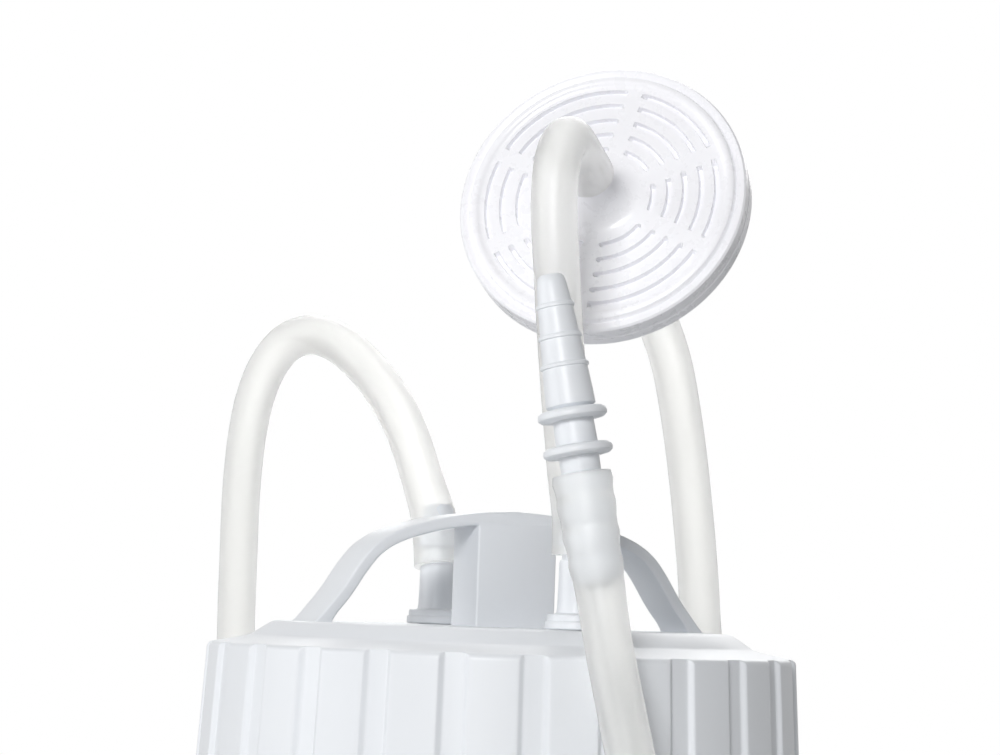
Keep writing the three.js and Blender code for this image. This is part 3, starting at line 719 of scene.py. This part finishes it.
class SUCTION_OT_lid(bpy.types.Operator):
    """Screw lid with a fluted skirt, a sloping shoulder and a raised boss, and its strap handle"""

    bl_idname = "suction_pump.lid"
    bl_label = "Jar lid"

    def execute(self, context):
        self.make_cap()
        self.make_handle()
        return {"FINISHED"}

    def make_cap(self):
        size = sizes()
        half, depth, wall = size.flute_width / MM / 2, size.flute_depth / MM, 1.5
        lean = (SKIRT_R - SKIRT_TOP_R) / (SKIRT_HIGH - SKIRT_LOW)
        pitch = math.tau / size.flute_count
        first = math.radians(FIRST_FLUTE_DEG - 90)
        # Columns crowd at the flutes' walls, as millimetres from each flute's middle.
        near = [0, half - wall - 0.5, *[half - wall + wall * i / 7 for i in range(8)], half + 0.5]
        land = pitch * SKIRT_R / 2
        spread = [*near, half + 2, land]
        offsets = [-u for u in reversed(spread[1:])] + spread[:-1]
        angles = [first + pitch * k + u / SKIRT_R for k in range(size.flute_count) for u in offsets]

        def fluted(r, z, a):
            if r < 57 or z < SKIRT_LOW or (r, z) in inner:
                return r, z
            u = abs((a - first + pitch / 2) % pitch - pitch / 2) * SKIRT_R
            share = min(1.0, max(0.0, (half - u) / wall))
            groove = SKIRT_R - (z - SKIRT_LOW) * lean - depth * share * share * (3 - 2 * share)
            soft = 0.14
            cut = SKIRT_R - soft * math.log(
                math.exp((SKIRT_R - r) / soft) + math.exp((SKIRT_R - groove) / soft)
            )
            return cut, z

        outer = [(67.2, SKIRT_LOW), (67.8, SKIRT_LOW + 0.2), (68.0, SKIRT_LOW + 0.7)]
        outer += [
            (SKIRT_R - lean * (z - SKIRT_LOW), z)
            for z in (187, 190, 193, 196, 199, 202, 205, 207, 208.4)
        ]
        turn_r, turn_z, bend = 64.9, 209.3, 1.65
        for i in range(11):
            a = math.radians(i * 8.2)
            outer.append((turn_r + bend * math.cos(a), turn_z + bend * math.sin(a)))
        outer += [
            (63.4, 211.2), (61, 211.65), (58.5, 212.2), (56.9, 212.65), (56.3, 212.9),
            (55.9, 213.25)
        ]
        outer += [(53.6, 214.75), (52.4, 215.5), (51.8, 215.8), (50.9, 215.97), (49.6, LID_TOP)]
        inner = [
            (0, 213.2), (48.6, 213.2), (50, 210.6), (63.1, 210.4), (63.8, 206), (64.6, SKIRT_LOW)
        ]
        cap = lathe([*inner, *outer, (30, LID_TOP), (0, LID_TOP)], warp=fluted, angles=angles)
        piece(
            "lid_cap", cap, "lid_set", moulded_polypropylene, over_jar(),
            ("jar_lid",)
        )

    def make_handle(self):
        size = sizes()
        thick, block = size.handle_thickness / MM, size.handle_block / MM / 2
        side = [
            (50.6, -0.7), (49.0, -0.1), (47.9, 0.9), (45.4, 3.8), (42.6, 7.2), (38.2, 13.6),
            (35.4, 16.9), (32.2, 19.3), (28.2, 21.2), (22.8, 22.9), (17.2, 24.2), (8.5, 25.5),
            (0, 26),
        ]
        outer = [(p.x, p.y) for p in smooth_path([(x, z, 0) for x, z in side], 0.8)]
        inner = []
        for i, (x, z) in enumerate(outer):
            (x0, z0), (x1, z1) = outer[max(i - 1, 0)], outer[min(i + 1, len(outer) - 1)]
            run = math.hypot(x1 - x0, z1 - z0)
            inner.append((x + (z1 - z0) / run * -thick, z + (x1 - x0) / run * thick))
        window = [(x, z) for x, z in inner if x > block + 0.4 and z > 1.6]
        foot_x = window[0][0]
        corner_z = window[-1][1]
        right = [
            (foot_x + 1.3, -0.5), (foot_x + 1.0, 0.5), *window, (block + 0.12, corner_z - 0.05),
            (block, corner_z - 0.5), (block, -0.5),
        ]
        left = [(-x, z) for x, z in reversed(right)]
        edge = [*outer, *[(-x, z) for x, z in reversed(outer[:-1])], (-50.6, -1.6), (50.6, -1.6)]
        upright = over_jar() @ Matrix.Translation((0, 0, LID_TOP)) @ Matrix.Rotation(QUARTER, 4, "X")
        half = size.handle_width / MM / 2
        piece(
            "lid_handle", sheet([edge, right, left], -half, half, 0.55), "lid_set",
            moulded_polypropylene, upright,
        )


class SUCTION_OT_ports(bpy.types.Operator):
    """The two hose ports on the lid, the hose clip and the pump's inlet nipple"""

    bl_idname = "suction_pump.ports"
    bl_label = "Ports"

    def execute(self, context):
        for name, side, low in (("patient_port", 1, 192), ("vacuum_port", -1, 202)):
            profile = [
                (1.6, low), (3.7, low), (3.7, 216.1), (6.6, 216.1), (6.8, 216.35), (6.8, 217.6),
                (6.62, 217.85), (6.4, 217.95), (6.36, 219.0), (6.15, 219.3), (4.8, 219.4),
                (4.35, 219.7), (4.2, 220.4), (4.05, 226), (4.0, 230.4), (3.85, 230.9), (3.5, 231.1),
                (3.5, 233.8), (4.15, 234.4), (4.1, 234.9), (3.55, 238.6), (4.1, 239.2),
                (3.3, 243.4), (2.6, 244.4), (1.6, 244.4),
            ]
            piece(
                f"{name}_stem", lathe(profile, 96), "lid_set", moulded_polypropylene,
                over_jar(0, side * PORT_OFFSET), (name,),
            )
        profile = [
            (1.8, 148), (4.2, 148), (4.2, 165.2), (6.8, 165.2), (7, 165.4), (7, 167.4),
            (6.6, 167.7), (4.4, 168), (4, 168.6), (4, 176.4), (3.5, 177), (3.5, 180), (4.2, 180.6),
            (3.5, 184.6), (4.1, 185.2), (3, 189), (1.8, 189.4),
        ]
        piece(
            "nipple_stem", lathe(profile, 80), "base", moulded_polypropylene,
            Matrix.Translation((*NIPPLE_AT, 0)), ("inlet_nipple",),
        )
        at = Vector((-10, -86, 0))
        turn = Matrix.Rotation(math.atan2(at.y, at.x), 4, "Z")
        reach = at.length
        band = lathe([(62.9, 175.5), (68, 175.5), (68, 183.7), (62.9, 183.7)], 160)
        arm = moved(box(66, reach - 6, -4, 4, 176, 182), turn)
        loop = shifted(drum(8.2, 176, 182, 64), at.x, at.y)
        bore = shifted(drum(6.3, 170, 190, 64), at.x, at.y)
        mouth = moved(box(reach, reach + 20, -4.4, 4.4, 170, 190), turn)
        piece(
            "hose_clip", carved(band, bore, mouth, add=(arm, loop)), "lid_set",
            moulded_polypropylene, over_jar(), ("hose_holder",), soften=0.5,
        )
        return {"FINISHED"}


class SUCTION_OT_filter(bpy.types.Operator):
    """The disc filter: two clear slotted shells welded round a paper membrane"""

    bl_idname = "suction_pump.filter"
    bl_label = "Filter"

    rings = (12.1, 15.8, 19.45, 23.3, 26.8)
    breaks = [math.radians(a) for a in (24, 79, 156, 207, 266, 334)]

    def execute(self, context):
        face = []
        for ring in reversed(self.rings):
            face += [
                (ring + step, 4.0) for step in (0.9, 0.66, 0.54, 0.42, 0, -0.42, -0.54, -0.66, -0.9)
            ]
        shell = [
            (1.8, 1.5), (28.8, 1.5), (29.6, 0.15), (33.0, 0.15), (33.4, 0.5), (33.4, 3.2),
            (33.0, 3.7), (32.2, 3.75), (31.6, 3.4), (31.2, 3.3), (30.9, 3.6), (30.7, 4.3),
            (30.2, 4.6), (29.4, 4.6), (28.9, 4.3), (28.5, 4.0), *face, (9.4, 4.1), (7.6, 4.6),
            (6.2, 5.8), (5.2, 7.6), (4.4, 9.6), (3.8, 13), (3.5, 19), (3.0, 19.9),
            (1.8, FILTER_HUB),
        ]
        whole = lathe(shell, 300, self.slotted)
        front = pointing(FILTER_AT, FILTER_NORMAL)
        for name, matrix in (("front", front), ("rear", front @ Matrix.Rotation(math.pi, 4, "X"))):
            piece(
                f"filter_{name}_disc", whole, "lid_set", clear_styrene, matrix,
                (f"filter_{name}_shell",),
            )
        finish_node(fibre_paper, "filter_membrane")
        return {"FINISHED"}

    def slotted(self, r, z, a):
        """Sinks the face where a ring-shaped slot with round ends runs through it."""
        if z != 4.0:
            return r, z
        ring = min(self.rings, key=lambda one: abs(one - r))
        off = min(abs((a - one + math.pi) % math.tau - math.pi) for one in self.breaks) * ring
        end = 2.6
        away = abs(r - ring) if off > end else math.hypot(r - ring, end - off)
        share = min(1.0, max(0.0, (sizes().slot_width / MM / 2 - away) / 0.24))
        return r, z - sizes().slot_depth / MM * share * share * (3 - 2 * share)


class SUCTION_OT_jar(bpy.types.Operator):
    """The clear jar with its printed graduations, and the float valve inside"""

    bl_idname = "suction_pump.jar"
    bl_label = "Jar"

    def execute(self, context):
        wall, r, low = 2.5, 62, 14.3
        outer, inner = [(0, low + 1.5), (46, low + 1.2), (49, low)], []
        for i in range(9):
            a = math.radians(i * 90 / 8)
            outer.append((r - 8 + 8 * math.sin(a), low + 8 * (1 - math.cos(a))))
            inner.append((r - 8 + (8 - wall) * math.sin(a), low + 8 - (8 - wall) * math.cos(a)))
        outer += [
            (r, 100), (r, 190), (61.8, 193), (61.1, 195.6), (60.5, 197), (60.5, 206.6), (60.1, 207),
            (58.4, 207), (58, 206.6), (58, 197), (58.6, 195.4), (59.3, 193), (59.5, 190),
            (59.5, 100),
        ]
        piece(
            "jar_wall", lathe([*outer, *reversed(inner), (0, low + wall + 1)], 160), "jar_set",
            blown_polycarbonate, over_jar(), ("jar",),
        )
        marks = []
        for i in range(1, 21):
            z = low + 3 + i * 8.3
            width = 14 if i % 5 == 0 else 7
            marks.append(shifted(self.strip(width, 0.5), width / 2 - 7, z))
            if i % 5 == 0:
                marks.append(lettering(f"{i / 10:.1f}", 7, 16, z))
        verts, faces = joined(*marks)
        facing = math.radians(-116)
        wrapped = [
            ((r + 0.12) * math.cos(facing + x / r), (r + 0.12) * math.sin(facing + x / r), z)
            for x, z, _ in verts
        ]
        made = piece(
            "jar_graduations", (wrapped, faces), "jar_set", printed_ink, over_jar(),
            smooth=False
        )
        made.modifiers.new("Ink thickness", "SOLIDIFY").thickness = 0.05 * MM
        self.make_float()
        return {"FINISHED"}

    def strip(self, width, height):
        """A flat strip with enough columns to bend round the jar."""
        xs = [width * (i / 8 - 0.5) for i in range(9)]
        verts = [(x, y, 0) for x in xs for y in (-height / 2, height / 2)]
        return verts, [(2 * i, 2 * i + 2, 2 * i + 3, 2 * i + 1) for i in range(8)]

    def make_float(self):
        under = over_jar(0, -PORT_OFFSET)
        wall = lathe([
            (6, 150), (12, 150), (12, 212.9), (4.2, 212.9), (4.2, 210.9), (10.5, 210.9),
            (10.5, 152), (6, 152),
        ], 64)
        windows = [
            moved(box(0, 15, -3, 3, 160, 198), Matrix.Rotation(i * math.tau / 3, 4, "Z"))
            for i in range(3)
        ]
        piece(
            "float_guide", carved(wall, *windows), "lid_set", moulded_polypropylene,
            under,
            ("float_cage",), soften=0.3,
        )
        cup = [
            (0, 152.4), (7.6, 152.4), (8.6, 152.9), (9.6, 154.4), (9.6, 171.4), (9.2, 172.8),
            (8.2, 174), (0, 174),
        ]
        piece(
            "float_body", lathe(cup, 64), "float", moulded_polyethylene, under,
            ("float_cup",)
        )
        seal = [(0, 174.3), (5.1, 174.3), (5.4, 174.6), (5.4, 176.2), (4.6, 177), (0, 177)]
        piece(
            "float_disc", lathe(seal, 64), "float", moulded_rubber, under,
            ("float_seal",)
        )
        ring = [(57.6, 207.3), (61.8, 207.3), (61.8, 210.2), (57.6, 210.2)]
        piece(
            "gasket_ring", lathe(ring, 96), "lid_set", moulded_rubber, over_jar(),
            ("lid_gasket",),
            soften=0.4,
        )


class SUCTION_OT_housing(bpy.types.Operator):
    """The pump's housing with its vents, on the tray with the jar's seat and rubber feet"""

    bl_idname = "suction_pump.housing"
    bl_label = "Housing and tray"

    def execute(self, context):
        slab = sheet([rounded_outline(*TRAY_PLAN)], TRAY_LOW, TRAY_TOP, 2.4)
        collar = shifted(lathe([
            (60, 24), (68, 24), (68.4, 26.2), (68, 27), (68, 38.6), (67.4, 39.6), (66.2, 40),
            (60, 40),
        ], 128), *JAR_AT)
        seat = shifted(drum(62.6, 14, 46, 128), *JAR_AT)
        well = box(-14, 156, -84, 88, 9, 31)
        piece(
            "tray_body", carved(slab, seat, well, add=(collar,)), "base",
            moulded_abs,
            replaces=("base_tray",), soften=0.4,
        )
        foot = [(0, 0), (9, 0), (10.4, 0.5), (11, 1.6), (11, 5.7), (0, 5.7)]
        for i, (x, y) in enumerate([(sx * 135, sy * 75) for sx in (-1, 1) for sy in (-1, 1)], 1):
            piece(
                f"foot_pad_{i}", lathe(foot, 48), "base", moulded_rubber,
                Matrix.Translation((x, y, 0)), (f"foot_{i}",),
            )
        self.make_shell()
        return {"FINISHED"}

    def outline(self, inset=0.0):
        """The housing's plan: a rounded box with a hollow on its left, round the jar."""
        left, right, front, back, corner, cheek = -34, 160, -88, 92, 16, 72
        points = []

        def arc(cx, cy, radius, start, end, steps):
            for i in range(steps + 1):
                a = start + (end - start) * i / steps
                points.append((cx + radius * math.cos(a), cy + radius * math.sin(a)))

        quarter = math.pi / 2
        turn = math.acos((left + inset - JAR_AT[0]) / (cheek + inset))
        arc(right - corner, back - corner, corner - inset, 0, quarter, 12)
        arc(left + corner, back - corner, corner - inset, quarter, 2 * quarter, 12)
        arc(*JAR_AT, cheek + inset, turn, -turn, 32)
        arc(left + corner, front + corner, corner - inset, 2 * quarter, 3 * quarter, 12)
        arc(right - corner, front + corner, corner - inset, 3 * quarter, 4 * quarter, 12)
        return points

    def hull(self, low, top, bend, inset):
        """The housing's plan raised from low to top, with its top edge rounded by bend."""
        rows = [(low, 0.0)]
        for i in range(9):
            a = math.radians(i * 90 / 8)
            rows.append((top - bend + bend * math.sin(a), bend * (1 - math.cos(a))))
        verts, faces = [], []
        for z, pull in rows:
            verts += [(x, y, z) for x, y in self.outline(inset + pull)]
        count = len(verts) // len(rows)
        for row in range(len(rows) - 1):
            for i in range(count):
                j = (i + 1) % count
                faces.append(
                    (row * count + i, row * count + j, (row + 1) * count + j, (row + 1) * count + i)
                )
        faces += [tuple(reversed(range(count))), tuple(range(len(verts) - count, len(verts)))]
        return verts, faces

    def make_shell(self):
        top = 165
        px, pz = PANEL_AT
        window = box(
            px - PANEL_W / 2, px + PANEL_W / 2, -90, -84, pz - PANEL_H / 2, pz + PANEL_H / 2
        )
        nipple = shifted(drum(4.6, 150, 170, 32), *NIPPLE_AT)
        socket = box(95.5, 124.5, 86, 94, 47.5, 84.5)
        vents = joined(*[box(154, 161, -22 + i * 8, -18 + i * 8, 56, 116) for i in range(8)])
        shell = carved(
            self.hull(26.3, top, 12, 0), self.hull(20, top - 3, 9, 3), window, nipple, socket, vents
        )
        piece(
            "housing_case", shell, "base", moulded_abs, replaces=("housing_shell",),
            soften=0.35
        )
        seam = joined(*[
            shifted(
                lathe([(0, 0), (3.4, 0), (3.4, 1.0), (3.0, 1.4), (0, 1.4)], 32), x, y, top - 0.2
            )
            for x, y in ((150 - 12, 70), (150 - 12, -66), (2, -66))
        ])
        piece("housing_plugs", seam, "base", moulded_abs)


class SUCTION_OT_panel(bpy.types.Operator):
    """The front panel with its screws, switch, lamp and regulator knob"""

    bl_idname = "suction_pump.panel"
    bl_label = "Front panel"

    def execute(self, context):
        px, pz = PANEL_AT

        def on(place):
            return place[0] - px, place[1] - pz

        holes = [circle_outline(*on(GAUGE_AT), 27.3), circle_outline(*on(KNOB_AT), 5.3, 32)]
        holes.append(circle_outline(*on(LAMP_AT), 4.3, 32))
        sx, sz = on(SWITCH_AT)
        holes.append([(sx + x, sz + y) for x, y in rounded_outline(30.6, 20.6, 0.5, 2)])
        face = sheet([rounded_outline(PANEL_W - 0.6, PANEL_H - 0.6, 1.5), *holes], -3, 0, 0.4)
        back = sheet([rounded_outline(PANEL_W + 6, PANEL_H + 6, 2), *holes], -5.3, -3.3, 0.2)
        piece(
            "panel_plate", joined(face, back), "base", charcoal_abs,
            facing_front(px, pz),
            ("front_panel",),
        )
        head = lathe(
            [(0, 0.3), (3.2, 0.3), (3.2, 1.1), (2.9, 1.7), (2.2, 2.1), (1.2, 2.3), (0, 2.35)], 40
        )
        cross = joined(box(-0.45, 0.45, -2, 2, 1.2, 3), box(-2, 2, -0.45, 0.45, 1.2, 3))
        corners = [(x, z) for x in (-1, 1) for z in (-1, 1)]
        for i, (x, z) in enumerate(corners, 1):
            piece(
                f"screw_head_{i}", carved(head, cross), "base", polished_steel,
                facing_front(px + x * (PANEL_W / 2 - 7), pz + z * (PANEL_H / 2 - 7)),
                (f"panel_screw_{i}",),
            )
        self.make_knob()
        self.make_switch()
        return {"FINISHED"}

    def make_knob(self):
        finish_node(turned_brass, "regulator_valve")
        profile = [
            (3.3, 0.5), (14.6, 0.5), (15, 0.9), (15, 2.6), (14.4, 3.5), (13.7, 4.2), (12.8, 12.8),
            (12.3, 13.9), (11.2, 14.8), (10.2, 15), (0, 15), (0, 10.4), (3.3, 10.4),
        ]

        def gripped(r, z, a):
            grip = 0.55 * (0.5 + 0.5 * math.cos(a * 20)) ** 2 if 4 < z < 14.5 and r > 11 else 0
            return r - grip, z

        body = lathe(profile, 200, gripped)
        groove = box(-0.5, 0.5, 3, 16, 14.3, 16)
        turn = Matrix.Rotation(math.radians(135), 4, "Z")
        piece(
            "knob_cap", carved(body, moved(groove, turn)), "knob", charcoal_abs,
            facing_front(*KNOB_AT), ("regulator_knob",),
        )
        line = moved(box(-0.45, 0.45, 4, 11.5, 14.3, 14.7), turn)
        piece("knob_line", line, "knob", enamel_white, facing_front(*KNOB_AT))
        marks = []
        for i in range(11):
            a = math.radians(225 - 27 * i)
            marks.append(moved(box(17.6, 20.6 if i % 5 == 0 else 19.6, -0.25, 0.25, 0.02, 0.1),
                               Matrix.Rotation(a, 4, "Z")))
        piece(
            "knob_scale", joined(*marks), "base", enamel_white,
            facing_front(*KNOB_AT)
        )

    def make_switch(self):
        rim = sheet(
            [rounded_outline(33.8, 23.8, 2.2), rounded_outline(26.8, 16, 0.8, 3)], 0.3, 2.4, 0.5
        )
        well = sheet([rounded_outline(30, 20, 0.5, 2), rounded_outline(26.8, 16, 0.8, 3)], -15, 1)
        piece(
            "switch_bezel", joined(rim, well, box(-15, 15, -10, 10, -18, -15)), "base",
            charcoal_abs, facing_front(*SWITCH_AT), ("switch_frame",),
        )
        side = [
            (-10, -5), (10, -5), (12.3, 3.4), (9, 2.7), (4.5, 2.0), (0, 1.7), (-4.5, 2.0),
            (-9, 2.7), (-12.3, 3.4)
        ]
        tilt = Matrix.Rotation(math.radians(8), 4, "Y") @ Matrix.Rotation(QUARTER, 4, "X")
        body = moved(sheet([side], -7.6, 7.6, 0.5), tilt)
        piece(
            "rocker_key", body, "rocker", green_polycarbonate,
            facing_front(*SWITCH_AT),
            ("power_rocker",),
        )
        lens = [(0, -12), (4, -12), (4, 0.3), (5.6, 0.3), (5.6, 1.2), (5.2, 1.6), (4.2, 1.7), (3.9, 2.4),
                (3.2, 3.2), (2.0, 3.7), (0, 3.85)]
        piece(
            "lamp_lens", lathe(lens, 48), "base", green_polycarbonate,
            facing_front(*LAMP_AT),
            ("power_lamp",),
        )


class SUCTION_OT_gauge(bpy.types.Operator):
    """The vacuum gauge: bezel, dial with ticks and numbers, needle and lens"""

    bl_idname = "suction_pump.gauge"
    bl_label = "Vacuum gauge"

    def execute(self, context):
        at = facing_front(*GAUGE_AT)
        case = [
            (0, -20), (27, -20), (27, 0.3), (29.4, 0.3), (30, 0.8), (30, 2.8), (29.6, 3.8),
            (28.6, 4.4), (27.2, 4.4), (26.4, 3.9), (26.2, 2), (25, 2), (25, -18), (0, -18),
        ]
        piece("gauge_bezel", lathe(case, 128), "base", polished_steel, at, ("gauge_case",))
        face = [(1.4, -6), (24.4, -6), (24.4, -5), (1.4, -5)]
        piece(
            "dial_plate", lathe(face, 96), "base", enamel_white, at, ("gauge_dial",)
        )
        marks = []
        for i in range(51):
            a = 225 - 5.4 * i
            inner = 18.4 if i % 10 == 0 else (19.8 if i % 5 == 0 else 21)
            width = 0.28 if i % 5 == 0 else 0.14
            marks.append(
                moved(
                    box(inner, 22.4, -width, width, -4.98, -4.9),
                    Matrix.Rotation(math.radians(a), 4, "Z")
                )
            )
            if i % 10 == 0:
                where = math.radians(a)
                number = lettering(str(i * 2), 4.2, 14.8 * math.cos(where), 14.8 * math.sin(where))
                marks.append(shifted(number, 0, 0, -4.94))
        piece("dial_marks", joined(*marks), "base", printed_ink, at, smooth=False)
        blade = sheet([[(-7, -1.2), (-6.4, -1.5), (-4, -0.9), (19, -0.3), (19.6, 0), (19, 0.3), (-4, 0.9),
                        (-6.4, 1.5), (-7, 1.2)]], -4, -3.2)
        hub = lathe([(0, -4.2), (2.6, -4.2), (2.6, -3), (2.2, -2.6), (0, -2.5)], 48)
        pin = drum(1, -16, -3, 24)
        turn = Matrix.Rotation(math.radians(225), 4, "Z")
        piece(
            "needle_blade", moved(joined(blade, hub, pin), turn), "needle",
            red_lacquer, at,
            ("gauge_needle",),
        )
        lens = [(0, 2.3), (25.8, 2.3), (25.8, 3.2), (25.2, 3.6), (0, 3.8)]
        piece("lens_disc", lathe(lens, 96), "base", float_glass, at, ("gauge_lens",))
        return {"FINISHED"}


class SUCTION_OT_fittings(bpy.types.Operator):
    """The carry handle with its brackets, the mains inlet at the back and the works inside"""

    bl_idname = "suction_pump.fittings"
    bl_label = "Handle, inlet and works"

    def execute(self, context):
        left, right, pivot, grip, z = 28, 132, 52, -24, 171.5
        side = [(0, pivot), (0, 30), (0, 6), (5, -14), (20, grip)]
        route = [(left + x, y, z) for x, y in side] + [((left + right) / 2, grip - 1, z)]
        route += [(right - x, y, z) for x, y in reversed(side)]
        path = smooth_path(route, 3)
        verts, faces, sides = [], [], 24
        for i, at in enumerate(path):
            along = (path[min(i + 1, len(path) - 1)] - path[max(i - 1, 0)]).normalized()
            across = along.cross(Vector((0, 0, 1)))
            wide = 4 + 1.2 * max(0.0, min(1.0, (at.x - 42) / 12, (118 - at.x) / 12))
            for k in range(sides):
                a = math.tau * k / sides
                verts.append(
                    tuple(at + across * math.cos(a) * wide + Vector((0, 0, 4 * math.sin(a))))
                )
        for i in range(len(path) - 1):
            for k in range(sides):
                j = (k + 1) % sides
                faces.append(
                    (i * sides + k, i * sides + j, (i + 1) * sides + j, (i + 1) * sides + k)
                )
        faces += [tuple(reversed(range(sides))), tuple(range(len(verts) - sides, len(verts)))]
        sideways = Matrix.Rotation(QUARTER, 4, "Y")
        eyes = joined(*[
            moved(lathe([(2.3, -4), (4.8, -4), (5.2, -3.6), (5.2, 3.6), (4.8, 4), (2.3, 4)], 48),
                  Matrix.Translation((x, pivot, z)) @ sideways)
            for x in (left, right)
        ])
        piece(
            "carry_grip", joined((verts, faces), eyes), "bail", charcoal_abs,
            replaces=("carry_handle",),
        )
        for name, x, out in (("left", left, -1), ("right", right, 1)):
            cheek = [
                (-6, 165.3), (6, 165.3), (6, 172), (4.6, 175.4), (1.6, 177), (-1.6, 177),
                (-4.6, 175.4), (-6, 172)
            ]
            stand = Matrix.Translation((x + out * 7.8, pivot, 0)) @ Matrix.Rotation(QUARTER, 4, "Z")
            stand = stand @ Matrix.Rotation(QUARTER, 4, "X")
            pin = moved(
                drum(2, -5.4, 5.4, 32), Matrix.Translation((x + out * 1.4, pivot, z)) @ sideways
            )
            piece(
                f"bracket_{name}", joined(moved(sheet([cheek], -3.2, 3.2, 0.6), stand), pin),
                "base",
                charcoal_abs, replaces=(f"handle_bracket_{name}",),
            )
        finish_node(charcoal_abs, "mains_inlet", "fuse_drawer", "cooling_fan", "exhaust_silencer")
        finish_node(plated_steel, "mounting_plate", "motor_body", "pump_cylinder")
        finish_node(cast_aluminium, "crankcase", "pump_head", "con_rod")
        finish_node(polished_steel, "motor_shaft")
        finish_node(turned_brass, "eccentric")
        finish_node(moulded_rubber, "piston", *[f"rubber_mount_{i}" for i in range(1, 5)])
        finish_node(extruded_silicone, "inner_tube")
        return {"FINISHED"}


class SUCTION_OT_stage(bpy.types.Operator):
    """Pale floor, white surround and soft lights"""

    bl_idname = "suction_pump.stage"
    bl_label = "Stage"

    # Softboxes: name, place, what each looks at, side in metres, power in watts.
    lights = (
        ("Key", (-1.18, -1.40, 0.85), (-0.09, -0.01, 0.22), 0.5, 19),
        ("Left", (-1.64, 0.43, 0.7), (-0.09, 0, 0.22), 1.0, 7.5),
        ("Above", (0.1, 0.3, 1.9), (-0.05, 0, 0.2), 1.4, 5),
        ("Back", (0.75, 1.25, 1.1), (0, 0, 0.15), 1.1, 8),
    )

    def execute(self, context):
        scene = context.scene
        mesh = plain_mesh(
            ([(x, y, 0) for x, y in circle_outline(0, 0, 3000, 96)], [tuple(range(96))])
        )
        mesh.name = "floor"
        mesh.materials.append(material(matt_card))
        floor = bpy.data.objects.new("floor", mesh)
        scene.collection.objects.link(floor)
        for name, at, to, side, power in self.lights:
            data = bpy.data.lights.new(name, "AREA")
            data.size, data.energy = side, power
            lamp = bpy.data.objects.new(name, data)
            lamp.location = at
            lamp.rotation_mode = "QUATERNION"
            lamp.rotation_quaternion = (Vector(to) - Vector(at)).to_track_quat("-Z", "Y")
            scene.collection.objects.link(lamp)
        world = bpy.data.worlds.new("White surround")
        scene.world = world
        world.use_nodes = True
        tree = world.node_tree
        tree.nodes.clear()
        path = add_node(tree, "ShaderNodeLightPath").outputs
        plain = add_node(
            tree, "ShaderNodeMapRange", {"To Min": 1.0, "To Max": 0.09},
            {"Value": path["Is Diffuse Ray"]}
        ).outputs["Result"]
        strength = add_node(
            tree, "ShaderNodeMath", {"operation": "MULTIPLY_ADD", 1: 0.1},
            {0: path["Is Transmission Ray"], 2: plain},
        ).outputs["Value"]
        light = add_node(
            tree, "ShaderNodeBackground", {"Color": linear(0xFFFFFF)}, {"Strength": strength}
        )
        add_node(tree, "ShaderNodeOutputWorld", links={"Surface": light.outputs["Background"]})
        scene.view_settings.view_transform = "Standard"
        return {"FINISHED"}


STEPS = (
    SUCTION_OT_camera, SUCTION_OT_connector, SUCTION_OT_hoses, SUCTION_OT_lid, SUCTION_OT_ports,
    SUCTION_OT_filter, SUCTION_OT_jar, SUCTION_OT_housing, SUCTION_OT_panel, SUCTION_OT_gauge,
    SUCTION_OT_fittings, SUCTION_OT_stage,
)


class SUCTION_PT_panel(bpy.types.Panel):
    """Sizes, colours and building steps of the suction pump"""

    bl_idname = "SUCTION_PT_panel"
    bl_label = "Suction pump"
    bl_space_type = "VIEW_3D"
    bl_region_type = "UI"
    bl_category = "Suction pump"

    def draw(self, context):
        for group in (context.scene.suction_pump_sizes, context.scene.suction_pump_colours):
            for name in group.__annotations__:
                self.layout.prop(group, name)
        for step in STEPS:
            self.layout.operator(step.bl_idname)


CLASSES = (SuctionPumpSizes, SuctionPumpColours, *STEPS, SUCTION_PT_panel)


def register():
    for cls in CLASSES:
        bpy.utils.register_class(cls)
    bpy.types.Scene.suction_pump_sizes = bpy.props.PointerProperty(type=SuctionPumpSizes)
    bpy.types.Scene.suction_pump_colours = bpy.props.PointerProperty(type=SuctionPumpColours)


def unregister():
    del bpy.types.Scene.suction_pump_colours
    del bpy.types.Scene.suction_pump_sizes
    for cls in reversed(CLASSES):
        bpy.utils.unregister_class(cls)


def main():
    register()
    for step in STEPS:
        group, name = step.bl_idname.split(".")
        getattr(getattr(bpy.ops, group), name)()


if __name__ == "__main__":
    main()
